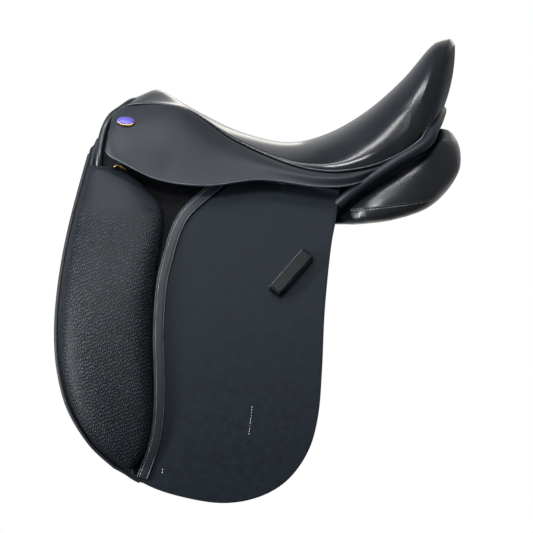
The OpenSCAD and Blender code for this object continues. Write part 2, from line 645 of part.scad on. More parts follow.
// Panels: [share of the seat run, outward reach of lower and upper corner,
//          heights of inner top, inner bottom, outer bottom, outer top]
panel_rows = [
    [-0.555, 0, 0, 86, 66, 60, 80], [-0.53, 0, 0, 90, 46, 34, 82], [-0.353, 0, 0, 100, 32, 6, 62],
    [-0.141, 0, 0, 78, 28, -1, 42], [0.05, 0, 0, 66, 26, -2, 26], [0.158, 0, 0, 74, 26, -2, 12],
    [0.24, 1, 0.96, 88, 27, 0, 34], [0.33, 1, 0.93, 106, 31, 5, 60], [0.435, 0.9, 0.82, 124, 43, 20, 88],
    [0.502, 0.7, 0.6, 132, 63, 46, 112], [0.541, 0.5, 0.46, 108, 84, 74, 100]
];
// Room that the rounded side of the panel leaves inside the sweat flap
panel_sew = 3.2;
function panel_side(z, share) =
    share == 0 ? barrel_y(z, sweat_n[0] - gap) - panel_sew : share * panel_w / 2;
function panel_corners(r) =
    let (
        a = [channel_w / 2, r[3]], b = [channel_w / 2, r[4]],
        c = [panel_side(r[5], r[1]), r[5]], d = [panel_side(r[6], r[2]), r[6]]
    )
    [b, mix(b, c, 0.5) - [0, 6], c, mix(c, d, 0.5) + [r[1] == 0 ? 0 : 4, 0], d, mix(d, a, 0.5) + [2, 2], a,
        mix(a, b, 0.5) - [1, 0]];
panel_rings = [for (r = panel_rows) [for (p = panel_corners(r)) [r[0] * seat_run, p[0], p[1]]]];
module panel(side) {
    color(black_leather) both(side) skin([for (i = [0:30])
        ring([for (k = [0:7]) curve_at([for (r = panel_rings) r[k]], i / 30)], 24)]);
}
roll_line = [[0.172, 127, 23.5], [0.235, 131, 42], [0.33, 127, 69], [0.43, 112, 97], [0.466, 84, 121],
    [0.486, 42, 139], [0.492, 0, 146]];
module panel_roll() {
    n = 22;
    half = [for (p = curve(roll_line, n)) [p[0] * seat_run, p[1], p[2]]];
    other = [for (i = [1:n]) let (p = half[n - i]) [p.x, -p.y, p.z]];
    color(black_leather) cord(concat(half, other), roll_d, 10);
}

// Stirrup bars with their safety catches
bar_y = gap + bar_plate_t + bar_gap + bar_d / 2;
// Boss that carries the bar on its plate
boss_x = -22;
boss_h = bar_d + 4;
fork_w = 4;
tongue_t = fork_w - 2 * run_gap;
catch_r = bar_d / 2 - 0.8;
// Place of the catch's pin along the bar
catch_x = bar_len - 6;
module bar_place(side) {
    both(side) on_barrel(bar_p, point_n[1]) children();
}
module stirrup_bar(side) {
    color(steel) both(side) difference() {
        on_barrel(bar_p, point_n[1]) difference() {
            union() {
                translate([plate_x[0], gap, -bar_plate_h / 2])
                    cube([plate_x[1] - plate_x[0], bar_plate_t, bar_plate_h]);
                translate([boss_x, gap, -boss_h / 2]) cube([-boss_x, bar_y - gap + bar_d / 2, boss_h]);
                translate([boss_x / 2, bar_y, 0]) rotate([0, 90, 0])
                    cylinder(d = bar_d, h = bar_len - boss_x / 2, $fn = round_fn);
            }
            translate([catch_x - catch_r - 1, bar_y - fork_w / 2, -bar_d])
                cube([bar_d * 2, fork_w, 2 * bar_d]);
            translate([catch_x, bar_y, 0]) rotate([90, 0, 0])
                cylinder(d = catch_pin_d + 2 * run_gap, h = 2 * bar_d, center = true, $fn = round_fn);
        }
        rivet_row(rivet_d + 2 * run_gap, 3 * point_t);
    }
}
module bar_catch(side) {
    color(steel) bar_place(side) translate([catch_x, bar_y, 0]) rotate([90, 0, 0]) difference() {
        union() {
            cylinder(r = catch_r, h = tongue_t, center = true, $fn = round_fn);
            translate([0, -catch_r, -tongue_t / 2]) cube([catch_len, 2 * catch_r, tongue_t]);
            translate([catch_len, 0, 0]) cylinder(r = catch_r, h = tongue_t, center = true, $fn = round_fn);
        }
        cylinder(d = catch_pin_d + 2 * run_gap, h = 2 * bar_d, center = true, $fn = round_fn);
    }
}
module catch_pins() {
    color(steel) for (side = ["left", "right"]) bar_place(side) translate([catch_x, bar_y, 0])
        rotate([90, 0, 0]) cylinder(d = catch_pin_d, h = bar_d - 1.4, center = true, $fn = round_fn);
}
module bar_rivets() {
    color(steel) for (side = ["left", "right"]) both(side)
        rivet_row(rivet_d, bar_plate_t + point_t);
}

// Girth straps and the webs they hang from
strap_top_z = 50;
strap_pivot = 14;
web_top_z = bar_low_z - 4;
strap_x = [-0.2 * seat_run, -0.036 * seat_run];
// Height of the lowest hole above the tip of its strap
hole_first = 34;
module girth_webs(side) {
    low = strap_top_z - 2 * strap_pivot;
    color(web_white) both(side) for (x = strap_x) barrel_sheet(web_n[0], web_n[1])
        translate([x - strap_w / 2, low]) square([strap_w, web_top_z - low]);
}
module girth_strap(side, x) {
    tip = strap_top_z - strap_len;
    color(black_leather) both(side) difference() {
        barrel_sheet(strap_n[0], strap_n[1]) translate([x, 0]) for (s = [0, 1]) mirror([s, 0]) polygon([
            [-1, strap_top_z], [-1, tip], [4, tip], [strap_w / 2 - 6, tip + 4],
            [strap_w / 2, tip + 16], [strap_w / 2, strap_top_z]]);
        for (k = [0:hole_count - 1]) on_barrel([x, tip + hole_first + k * hole_pitch], strap_n[0])
            rotate([-90, 0, 0]) cylinder(d = hole_d, h = 6 * strap_t, center = true, $fn = round_fn);
    }
}

// Dees for a breastplate, each hinged in a leather chape on the sweat flap
dee_p = [bar_p[0] - point_reach - dee_r - dee_wire / 2 - gap, bar_p[1] - 0.42 * point_fall];
dee_n = -7.5;
dee_mid = dee_r + dee_wire / 2;
dee_leg = 5;
chape_len = 26;
chape_t = 3;
module dee(side) {
    color(brass) both(side) on_barrel(dee_p, dee_n) {
        rotate([0, 90, 0]) cylinder(d = dee_wire, h = 2 * dee_mid, center = true, $fn = round_fn);
        for (s = [-1, 1]) translate([s * dee_mid, 0, 0]) {
            sphere(d = dee_wire, $fn = round_fn);
            cylinder(d = dee_wire, h = dee_leg, $fn = round_fn);
        }
        translate([0, 0, dee_leg]) rotate([90, 0, 0]) rotate_extrude(angle = 180, $fn = round_fn)
            translate([dee_mid, 0]) circle(d = dee_wire, $fn = 32);
    }
}
module dee_chape(side) {
    w = 2 * dee_r - 4;
    thick = dee_n - sweat_n[1] - gap;
    color(black_leather) both(side) on_barrel(dee_p, dee_n) difference() {
        union() {
            rotate([0, 90, 0]) cylinder(r = thick, h = w, center = true, $fn = round_fn);
            translate([-w / 2, -thick, -chape_len]) cube([w, chape_t, chape_len]);
        }
        rotate([0, 90, 0]) cylinder(d = dee_wire + 2 * run_gap, h = 2 * w, center = true, $fn = round_fn);
    }
}

tree_head();
tree_rail("left");  // tree_rail_left
tree_rail("right");  // tree_rail_right
tree_cantle();
tree_point("left");  // tree_point_left
tree_point("right");  // tree_point_right
gullet_plate();
gullet_rivets();
spring("left");  // spring_left
spring("right");  // spring_right
seat_web_long();
seat_web_cross();
seat_foam();
seat_cover();
welt("left");  // welt_left
welt("right");  // welt_right
front_facing();
rear_facing();
skirt("left");  // skirt_left
skirt("right");  // skirt_right
skirt_leaf("left");  // skirt_leaf_left
skirt_leaf("right");  // skirt_leaf_right
button_stud("left");  // button_stud_left
button_stud("right");  // button_stud_right
button_cap("left");  // button_cap_left
button_cap("right");  // button_cap_right
flap_head("left");  // flap_head_left
flap_head("right");  // flap_head_right
flap("left");  // flap_left
flap("right");  // flap_right
knee_block("left");  // knee_block_left
knee_block("right");  // knee_block_right
binding_strip("left");  // binding_strip_left
binding_strip("right");  // binding_strip_right
keeper("left");  // keeper_left
keeper("right");  // keeper_right
strap_loop("left");  // strap_loop_left
strap_loop("right");  // strap_loop_right
sweat_flap("left");  // sweat_flap_left
sweat_flap("right");  // sweat_flap_right
panel("left");  // panel_left
panel("right");  // panel_right
panel_roll();
stirrup_bar("left");  // stirrup_bar_left
stirrup_bar("right");  // stirrup_bar_right
bar_catch("left");  // bar_catch_left
bar_catch("right");  // bar_catch_right
catch_pins();
bar_rivets();
girth_webs("left");  // girth_webs_left
girth_webs("right");  // girth_webs_right
girth_strap("left", strap_x[0]);  // girth_strap_front_left
girth_strap("right", strap_x[0]);  // girth_strap_front_right
girth_strap("left", strap_x[1]);  // girth_strap_rear_left
girth_strap("right", strap_x[1]);  // girth_strap_rear_right
dee("left");  // dee_left
dee("right");  // dee_right
dee_chape("left");  // dee_chape_left
dee_chape("right");  // dee_chape_right
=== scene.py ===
# %% [markdown]
# A dressage saddle with outside knee blocks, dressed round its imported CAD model.
# The pommel points to -X, the near side is -Y and Z is up. Shapes are worked out in millimetres,
# from the same curves as the CAD model, and are scaled to metres when a piece is finished.

# %% The frame and its box
import json
import math

import bmesh
import bpy
from mathutils import Matrix, Vector
from mathutils.bvhtree import BVHTree


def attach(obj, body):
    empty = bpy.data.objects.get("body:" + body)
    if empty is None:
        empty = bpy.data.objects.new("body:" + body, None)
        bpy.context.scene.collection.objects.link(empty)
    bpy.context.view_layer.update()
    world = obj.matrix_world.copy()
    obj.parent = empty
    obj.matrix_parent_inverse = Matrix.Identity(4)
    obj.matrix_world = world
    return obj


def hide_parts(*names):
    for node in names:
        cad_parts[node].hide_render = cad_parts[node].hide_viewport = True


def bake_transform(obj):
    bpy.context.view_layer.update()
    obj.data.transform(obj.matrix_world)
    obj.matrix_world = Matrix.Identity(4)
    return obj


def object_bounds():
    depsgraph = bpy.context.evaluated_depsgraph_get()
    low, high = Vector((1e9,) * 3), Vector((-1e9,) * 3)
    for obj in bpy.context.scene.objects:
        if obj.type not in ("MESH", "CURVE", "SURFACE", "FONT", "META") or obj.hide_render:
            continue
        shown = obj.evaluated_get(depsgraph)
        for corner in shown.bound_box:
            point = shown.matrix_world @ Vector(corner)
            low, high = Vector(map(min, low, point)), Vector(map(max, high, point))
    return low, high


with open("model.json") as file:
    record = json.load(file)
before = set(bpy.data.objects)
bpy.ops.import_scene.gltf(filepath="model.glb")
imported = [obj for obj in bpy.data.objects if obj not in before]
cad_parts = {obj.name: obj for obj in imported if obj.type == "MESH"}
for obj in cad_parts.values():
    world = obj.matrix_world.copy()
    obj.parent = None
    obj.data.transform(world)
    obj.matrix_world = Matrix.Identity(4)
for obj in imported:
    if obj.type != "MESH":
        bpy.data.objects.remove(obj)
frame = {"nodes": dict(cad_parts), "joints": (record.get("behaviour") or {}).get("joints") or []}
cad_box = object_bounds()
MM = 0.001
SIDES = ("right", "left")
joints = {joint["name"]: joint for joint in frame["joints"]}
print("CAD box", [list(corner) for corner in cad_box])

# %% [markdown]
# The photograph is a product shot, square on to the near side through a long lens. A pixel is 1.31 mm
# at the saddle, so the camera's distance follows from the lens, the sensor and the width of the frame.

# %% Camera
PIXEL = 1.31
FRAME_PIXELS = 533
LENS, SENSOR = 1200, 36
NEAR_FACE = -100


def photo_place(px, py):
    """Side view place, in millimetres, of a pixel of the photograph"""
    return Vector(((px - 286) * PIXEL, (224 - py) * PIXEL))


def placed(name, data):
    """Object that holds the data, put in the scene"""
    made = bpy.data.objects.new(name, data)
    bpy.context.scene.collection.objects.link(made)
    return made


middle = photo_place(FRAME_PIXELS / 2, FRAME_PIXELS / 2)
distance = FRAME_PIXELS * PIXEL * LENS / SENSOR
camera = placed("camera", bpy.data.cameras.new("camera"))
camera.data.lens, camera.data.sensor_width = LENS, SENSOR
camera.location = Vector((middle.x, NEAR_FACE - distance, middle.y)) * MM
camera.rotation_euler = (math.radians(90), 0, 0)
camera.data.clip_end = 100
bpy.context.scene.camera = camera
print("camera", round(distance * MM, 2), "m from the near flap")

# %% [markdown]
# Finishes are node trees. One function adds a node with its settings and its inputs, where an input is
# either a value or another node's output. Colours are written as sRGB hex values and turned to linear.

# %% Node and colour helpers
def srgb(code):
    parts = [int(code[i:i + 2], 16) / 255 for i in (1, 3, 5)]
    linear = [c / 12.92 if c <= 0.04045 else ((c + 0.055) / 1.055) ** 2.4 for c in parts]
    return (*linear, 1.0)


def add(tree, kind, settings=None, inputs=None):
    node = tree.nodes.new(kind)
    for key, value in (settings or {}).items():
        setattr(node, key, value)
    for key, value in (inputs or {}).items():
        if isinstance(value, bpy.types.NodeSocket):
            tree.links.new(value, node.inputs[key])
        else:
            node.inputs[key].default_value = value
    return node


def finish_of(name, values):
    material = bpy.data.materials.new(name)
    material.use_nodes = True
    shader = material.node_tree.nodes["Principled BSDF"]
    for key, value in values.items():
        shader.inputs[key].default_value = value
    return material, material.node_tree, shader


def toned(tree, fac, dark, light, spread=(0.3, 0.7)):
    ramp = add(tree, "ShaderNodeValToRGB", None, {"Fac": fac})
    for element, place, code in zip(ramp.color_ramp.elements, spread, (dark, light)):
        element.position = place
        element.color = srgb(code)
    return ramp.outputs["Color"]


def eased(tree, value, start, end, low=0, high=1):
    """Output that goes smoothly from low to high while value goes from start to end"""
    inputs = {"Value": value, "From Min": start, "From Max": end, "To Min": low, "To Max": high}
    return add(tree, "ShaderNodeMapRange", {"interpolation_type": "SMOOTHSTEP"}, inputs).outputs["Result"]


def plug(tree, shader, outputs):
    for key, output in outputs.items():
        tree.links.new(output, shader.inputs[key])


# %% [markdown]
# All the black leather is cowhide, dyed through and finished in different ways. Bridle leather for flap
# and skirt is dense and waxed: nearly matt, with fine pores and a cloudy dye. Seat and panel leather is
# softer and has a satin gloss. Each finish is the same tree with its own pore size, depth and gloss.

# %% Leather
def leather(name, dark, light, rough, pore, depth, cloud, specular, stretch=(1, 1, 1), fade=None, painted_valley_shade=0):
    material, tree, shader = finish_of(name, {"Specular IOR Level": specular, "IOR": 1.5})
    where = add(tree, "ShaderNodeTexCoord").outputs["Object"]
    turned = add(tree, "ShaderNodeMapping", {"vector_type": "TEXTURE"},
                 {"Vector": where, "Rotation": (math.radians(90), math.radians(-22), 0),
                  "Scale": stretch}).outputs["Vector"]
    clouds = add(tree, "ShaderNodeTexNoise", None,
                 {"Vector": where, "Scale": 1000 / cloud, "Detail": 5, "Roughness": 0.62}).outputs["Fac"]
    pores = add(tree, "ShaderNodeTexVoronoi",
                {"feature": "DISTANCE_TO_EDGE", "voronoi_dimensions": "2D" if painted_valley_shade else "3D"},
                {"Vector": turned, "Scale": 1000 / pore, "Randomness": 0.8}).outputs["Distance"]
    domes = eased(tree, pores, 0.05, 0.45)
    if fade:
        height = add(tree, "ShaderNodeSeparateXYZ", None, {"Vector": where}).outputs["Z"]
        shown = eased(tree, height, fade[0] * MM, fade[1] * MM, 1, 0.05)
        domes = add(tree, "ShaderNodeMix", None, {0: shown, 2: 0.3, 3: domes}).outputs[0]
    creases = add(tree, "ShaderNodeTexNoise", None,
                  {"Vector": where, "Scale": 1000 / (4 * pore), "Detail": 6}).outputs["Fac"]
    soft = add(tree, "ShaderNodeBump", None,
               {"Height": creases, "Distance": min(0.5 * depth, 0.06) * MM, "Strength": 0.5})
    bump = add(tree, "ShaderNodeBump", None,
               {"Height": domes, "Distance": depth * MM, "Strength": 1, "Normal": soft.outputs["Normal"]})
    gloss = add(tree, "ShaderNodeMapRange", None,
                {"Value": clouds, "From Min": 0.3, "From Max": 0.7, "To Min": rough[0], "To Max": rough[1]})
    colour = toned(tree, clouds, dark, light)
    # Painted shade: the colour is multiplied down where the domes are low, darkest in the valleys between
    # pores
    if painted_valley_shade:
        colour = add(tree, "ShaderNodeMix", {"data_type": "RGBA", "blend_type": "MULTIPLY"},
                     {0: painted_valley_shade, 6: colour, 7: domes}).outputs[2]
    plug(tree, shader, {"Base Color": colour, "Roughness": gloss.outputs["Result"],
                        "Normal": bump.outputs["Normal"]})
    print("leather", name)
    return material


# Waxed bridle leather: matt, cloudy blue-black, pores too fine to see and drawn 1.2 mm wide
flap_leather = leather("bridle_leather_flap", "#10151b", "#182028", (0.55, 0.7), 1.2, 0.05, 9, 0.13)
skirt_leather = leather("bridle_leather_skirt", "#161b21", "#20262c", (0.48, 0.58), 1.2, 0.04, 60, 0.27)
# Soft calf with a satin gloss that shows long smooth highlights
seat_leather = leather("calf_leather_seat", "#101318", "#181c21", (0.17, 0.22), 1.6, 0.012, 55, 0.36)
panel_leather = leather("calf_leather_panel", "#0d1116", "#151a20", (0.26, 0.34), 1.8, 0.02, 50, 0.5)
# Milled leather with raised pebbles about 5 mm long, smooth where it is drawn tight at the top; painted
# shade darkens the valleys between the pebbles, and the same darkening dims the smooth top
grain_leather = leather("pebbled_leather_block", "#262e37", "#333c46", (0.42, 0.5), 2.5, 0.35, 45, 0.16,
                        (1, 1.9, 1), (-5, 40), 0.99)
# The thin sheet under the block is dull; its near-black colour and darkened grain valleys are painted shade
# for the block's shadow, and the flap's rim takes it too
painted_shade_leather = leather("painted_shade_leather_base", "#080a0d", "#0d1014", (0.5, 0.6), 3.0, 0.25, 40, 0.05,
                       (1, 1.8, 1), None, 0.8)
# Piping is stretched over its cord until it shines; its colour, paler than the seat's, is a painted
# highlight on the bead
piping_highlight_leather = leather("stretched_leather_piping_painted_highlight", "#23282f", "#333940", (0.25, 0.32), 1.0, 0.03, 20, 0.5)
trim_leather = leather("bridle_leather_trim", "#14181e", "#1c232b", (0.42, 0.55), 1.0, 0.05, 30, 0.28)
strap_leather = leather("waxed_leather_strap", "#1a1b1d", "#26272a", (0.4, 0.52), 1.3, 0.06, 34, 0.35)
# Waxed black strap, dull and darker than the flap, for the keepers and the hidden sweat flaps
keeper_leather = leather("waxed_leather_keeper", "#07090c", "#0b0e12", (0.42, 0.5), 1.2, 0.03, 30, 0.14)
# Cut edges are dyed, waxed and rubbed until they shine; their paler colour is partly that finish and partly
# a painted highlight along rims and beads
edge_and_highlight_leather = leather("burnished_edge_painted_highlight", "#2c333b", "#454d57", (0.28, 0.36), 0.9, 0.03, 12, 0.5)

# %% [markdown]
# The rest of the finishes: brass and forged steel are metals with a worn, uneven polish, the button's cap
# is fired enamel, the tree is laminated beech, the webs are woven flax and the seat's filling is latex foam.

# %% Metal, enamel, wood, web and foam
def metal(name, dark, light, rough, scratch):
    material, tree, shader = finish_of(name, {"Metallic": 1.0})
    where = add(tree, "ShaderNodeTexCoord").outputs["Object"]
    worn = add(tree, "ShaderNodeTexNoise", None,
               {"Vector": where, "Scale": 1000 / scratch, "Detail": 8}).outputs["Fac"]
    gloss = add(tree, "ShaderNodeMapRange", None, {"Value": worn, "To Min": rough[0], "To Max": rough[1]})
    bump = add(tree, "ShaderNodeBump", None, {"Height": worn, "Distance": 0.02 * MM, "Strength": 0.6})
    plug(tree, shader, {"Base Color": toned(tree, worn, dark, light), "Roughness": gloss.outputs["Result"],
                        "Normal": bump.outputs["Normal"]})
    return material


# Polished brass, a little dulled, and drop-forged steel with a satin polish
brass = metal("polished_brass", "#8f7136", "#b8965a", (0.15, 0.35), 3)
steel = metal("forged_steel", "#8d9094", "#b9bcc0", (0.22, 0.42), 2.5)


def patterned(name, dark, light, rough, pattern, settings, size, depth, stretch, values=None):
    material, tree, shader = finish_of(name, {"Roughness": rough, **(values or {})})
    where = add(tree, "ShaderNodeTexCoord").outputs["Object"]
    turned = add(tree, "ShaderNodeMapping", None, {"Vector": where, "Scale": stretch}).outputs["Vector"]
    texture = add(tree, pattern, settings, {"Vector": turned, "Scale": 1000 / size})
    height = texture.outputs["Fac"] if "Fac" in texture.outputs else texture.outputs["Distance"]
    bump = add(tree, "ShaderNodeBump", None, {"Height": height, "Distance": depth * MM, "Strength": 0.8})
    plug(tree, shader, {"Base Color": toned(tree, height, dark, light), "Normal": bump.outputs["Normal"]})
    return material


# Fired enamel: a glassy skin over one blue-violet colour, with slight clouding
enamel = patterned("blue_enamel", "#45409a", "#5f59b4", 0.25, "ShaderNodeTexNoise", {}, 6, 0.005, (1, 1, 1),
                   {"Specular IOR Level": 0.35})
# Laminated beech under dark varnish: deep brown with long grain along the tree
beech = patterned("laminated_beech", "#3b2a1c", "#4d3827", 0.5, "ShaderNodeTexNoise", {}, 4, 0.06,
                  (0.08, 1, 1))
# Flax web: bands of weave about 2 mm wide
webbing = patterned("flax_web", "#9b9480", "#cfc8b4", 0.85, "ShaderNodeTexWave", {"wave_profile": "SIN"},
                    13, 0.3, (1, 0.2, 1))
# Latex foam: a matt sponge with cells about 1.5 mm wide
foam = patterned("latex_foam", "#55565a", "#76777b", 0.9, "ShaderNodeTexVoronoi", {}, 1.5, 0.4, (1, 1, 1))
# Waxed linen thread, grey-white, twisted: a fine rib across the stitch
thread = patterned("linen_thread", "#8a9098", "#c4c9cf", 0.7, "ShaderNodeTexWave", {}, 6, 0.1, (1, 1, 1))
print(len(bpy.data.materials), "materials")

# %% [markdown]
# The stage is a pale floor under plain soft light. The floor is lit like anything else, so it keeps the
# saddle's shadow, and shines for the camera alone, so that it meets the white background. Gloss shows the
# white backdrop behind the saddle and a dimmer room in front of it, as in a studio.

# %% Floor, world and lamps
FLOOR_DROP = 1.5


def mesh_of(name, shape):
    """Mesh with the shape's faces, which uses the shape up"""
    mesh = bpy.data.meshes.new(name)
    shape.to_mesh(mesh)
    shape.free()
    return mesh


shape = bmesh.new()
bmesh.ops.create_circle(shape, cap_ends=True, segments=96, radius=2.2)
bmesh.ops.translate(shape, vec=(0, 0, cad_box[0].z - FLOOR_DROP * MM), verts=shape.verts)
floor = placed("floor", mesh_of("floor", shape))


def seen(tree, mirrored):
    """1 for what the camera sees straight or through glass, and the share mirrored for what a gloss shows"""
    path = add(tree, "ShaderNodeLightPath").outputs
    gloss = add(tree, "ShaderNodeMath", {"operation": "MULTIPLY"},
                {0: path["Is Glossy Ray"], 1: mirrored}).outputs[0]
    first = add(tree, "ShaderNodeMath", {"operation": "MAXIMUM"},
                {0: path["Is Camera Ray"], 1: gloss}).outputs[0]
    return add(tree, "ShaderNodeMath", {"operation": "MAXIMUM"},
               {0: first, 1: path["Is Transmission Ray"]}).outputs[0]


paper = bpy.data.materials.new("white_paper")
paper.use_nodes = True
tree = paper.node_tree
tree.nodes.remove(tree.nodes["Principled BSDF"])
matt = add(tree, "ShaderNodeBsdfDiffuse", None, {"Color": srgb("#f2f2f2")})
where = add(tree, "ShaderNodeTexCoord").outputs["Object"]
depth = add(tree, "ShaderNodeSeparateXYZ", None, {"Vector": where}).outputs["Y"]
rear = eased(tree, depth, -0.4, 0.5, 0.2, 1)
lifted = add(tree, "ShaderNodeEmission", None, {"Color": (1, 1, 1, 1), "Strength": seen(tree, rear)})
near = add(tree, "ShaderNodeVectorMath", {"operation": "LENGTH"}, {0: where}).outputs["Value"]
far = eased(tree, near, 0.1, 0.33, 0.6, 1)
mixed = add(tree, "ShaderNodeMixShader", None,
            {"Fac": far, 1: matt.outputs["BSDF"], 2: lifted.outputs["Emission"]})
tree.links.new(mixed.outputs["Shader"], tree.nodes["Material Output"].inputs["Surface"])
floor.data.materials.append(paper)

world = bpy.data.worlds.new("studio")
bpy.context.scene.world = world
world.use_nodes = True
tree = world.node_tree
BACKDROP = (0.28, 0.8, 0.53)
towards = add(tree, "ShaderNodeVectorMath", {"operation": "DOT_PRODUCT"},
              {0: add(tree, "ShaderNodeTexCoord").outputs["Generated"], 1: BACKDROP}).outputs["Value"]
rear = eased(tree, towards, 0.72, 0.98, 0.15, 0.8)
around = add(tree, "ShaderNodeBackground", None, {"Color": (0.2, 0.21, 0.23, 1), "Strength": 1})
back = add(tree, "ShaderNodeBackground", None, {"Color": (1, 1, 1, 1), "Strength": 1})
mixed = add(tree, "ShaderNodeMixShader", None,
            {"Fac": seen(tree, rear), 1: around.outputs["Background"], 2: back.outputs["Background"]})
tree.links.new(mixed.outputs["Shader"], tree.nodes["World Output"].inputs["Surface"])
bpy.context.scene.view_settings.view_transform = "Standard"


def softbox(name, place, target, size, watts, colour=(1, 1, 1)):
    lamp = bpy.data.lights.new(name, "AREA")
    lamp.shape, lamp.size, lamp.size_y, lamp.energy = "RECTANGLE", size[0], size[1], watts
    lamp.color = colour
    box = placed(name, lamp)
    box.location = place
    box.rotation_euler = (Vector(target) - Vector(place)).to_track_quat("-Z", "Y").to_euler()


softbox("over_head", (-0.3, -0.8, 1.9), (0.05, -0.1, 0.1), (1.5, 0.17), 22)
softbox("over_pommel", (-1.3, -0.3, 1.9), (0.1, -0.05, 0.15), (0.9, 0.2), 4)
softbox("over_panel", (-0.45, -1.6, 1.3), (0.1, -0.13, 0.05), (0.6, 0.35), 23)
softbox("front_strip", (-1.5, -0.75, 0.0), (-0.25, -0.15, -0.1), (0.1, 1.4), 55)
softbox("key_left", (-1.1, -1.55, 2.0), (0, -0.1, 0), (0.8, 0.5), 11)
softbox("behind", (0.5, 1.9, 0.8), (0, 0, 0.1), (1.2, 0.4), 3, (1, 0.94, 0.85))
print("stage set")

# %% [markdown]
# Every surface of a saddle is a curved sheet, so the helpers lay a flat grid over a surface, give it its
# thickness with an extrude, round its rim with a bevel and hand it over as a finished piece.

# %% Sheet helpers
def mix(a, b, t):
    return a + (b - a) * t


def curve_at(points, u):
    """Point of the smooth curve through the points, from u = 0 to u = 1"""
    s = u * (len(points) - 1)
    i = max(0, min(len(points) - 2, math.floor(s)))
    t = s - i
    a, b = points[max(0, i - 1)], points[i]
    c, d = points[i + 1], points[min(len(points) - 1, i + 2)]
    return b + 0.5 * t * ((c - a) + t * ((2 * a - 5 * b + 4 * c - d) + t * (3 * b - a - 3 * c + d)))


def sheet(columns, rows, place, out):
    """Grid laid over place(s, t), with its faces turned to the direction out"""
    shape = bmesh.new()
    bmesh.ops.create_grid(shape, x_segments=columns, y_segments=rows, size=0.5)
    for vert in shape.verts:
        vert.co = place(vert.co.x + 0.5, vert.co.y + 0.5)
    shape.normal_update()
    facing = sum((face.normal * face.calc_area() for face in shape.faces), Vector())
    if facing.dot(Vector(out)) < 0:
        bmesh.ops.reverse_faces(shape, faces=shape.faces)
    shape.normal_update()
    return shape


def extruded(shape):
    """Points and faces of a copy of a sheet, joined to the sheet along its rim"""
    grown = bmesh.ops.extrude_face_region(shape, geom=shape.faces[:], use_keep_orig=True)["geom"]
    points = [item for item in grown if isinstance(item, bmesh.types.BMVert)]
    return points, {item for item in grown if isinstance(item, bmesh.types.BMFace)}


def thicken(shape, thickness, rounding, segments=2):
    """Closed sheet with a rounded rim, whose rim takes the second finish"""
    outer = set(shape.faces)
    inner, caps = extruded(shape)
    shape.normal_update()
    for vert in inner:
        vert.co -= vert.normal * thickness
    bmesh.ops.recalc_face_normals(shape, faces=shape.faces)
    rim = set(shape.faces) - outer - caps
    for face in rim:
        face.material_index = 1
    if rounding:
        sharp = [edge for edge in shape.edges if len({face in rim for face in edge.link_faces}) == 2]
        bmesh.ops.bevel(shape, geom=sharp, offset=rounding, segments=segments, profile=0.5,
                        affect="EDGES", material=1, clamp_overlap=True)
    return shape


def piece(name, shape, finishes, nodes=(), body="root", angle=60):
    """Object in metres at the origin, riding on its body in the place of its CAD nodes"""
    bmesh.ops.scale(shape, vec=(MM, MM, MM), verts=shape.verts)
    mesh = mesh_of(name, shape)
    for finish in finishes:
        mesh.materials.append(finish)
    mesh.shade_smooth()
    mesh.set_sharp_from_angle(angle=math.radians(angle))
    made = placed(name, mesh)
    if body:
        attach(made, body)
    if nodes:
        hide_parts(*nodes)
    print(name, len(mesh.polygons), "faces")
    return made


def each_side(make):
    """The shape for the right side, and its mirror image for the left"""
    for side in SIDES:
        shape = make()
        if side == "left":
            bmesh.ops.scale(shape, vec=(1, -1, 1), verts=shape.verts)
            bmesh.ops.reverse_faces(shape, faces=shape.faces)
        yield side, shape


def pair(name, make, finishes, nodes=(), body="root", angle=60):
    """A piece for each side, with its side; {} in the names of its nodes and body stands for the side"""
    made = []
    for side, shape in each_side(make):
        named = [node.format(side) for node in nodes]
        rides = body.format(side) if body else None
        made.append((side, piece(f"{name}_{side}", shape, finishes, named, rides, angle)))
    return made


def cord(path, radius, around=10):
    """Round cord along a path, closed at its ends"""
    line = bpy.data.curves.new("cord", "CURVE")
    line.dimensions, line.bevel_depth, line.bevel_resolution = "3D", radius, around // 2
    line.use_fill_caps = True
    spline = line.splines.new("POLY")
    spline.points.add(len(path) - 1)
    for point, place in zip(spline.points, path):
        point.co = (*place, 1)
    holder = placed("cord", line)
    mesh = bpy.data.meshes.new_from_object(holder)
    shape = bmesh.new()
    shape.from_mesh(mesh)
    bmesh.ops.remove_doubles(shape, verts=shape.verts, dist=0.001)
    bmesh.ops.recalc_face_normals(shape, faces=shape.faces)
    bpy.data.objects.remove(holder)
    bpy.data.curves.remove(line)
    bpy.data.meshes.remove(mesh)
    return shape


def joined(shape, extra, index):
    """Shape with another added to it, whose faces take the finish with that index"""
    for face in extra.faces:
        face.material_index = index
    mesh = mesh_of("extra", extra)
    shape.from_mesh(mesh)
    bpy.data.meshes.remove(mesh)
    return shape


def stitches(path, normals, pitch, length, width):
    """Row of stitches along a path, each a small capsule that lies on the surface"""
    shape = bmesh.new()
    travelled, due = 0.0, pitch / 2
    for a, b, normal in zip(path, path[1:], normals):
        step = (b - a).length
        while due <= travelled + step:
            spot = mix(a, b, (due - travelled) / step)
            along = (b - a).normalized()
            side = normal.cross(along).normalized()
            axes = Matrix((along, side, normal)).transposed().to_4x4()
            size = Matrix.Diagonal((length / 2, width / 2, width / 2.4, 1))
            bmesh.ops.create_icosphere(shape, subdivisions=1, radius=1,
                                       matrix=Matrix.Translation(spot) @ axes @ size)
            due += pitch
        travelled += step
    return shape


# %% [markdown]
# The seat is one surface between a middle line and two edges, as in the CAD model. Leather, foam, webs and
# welts are all offsets of it. A grid over the surface is the simplest way to keep them parallel.

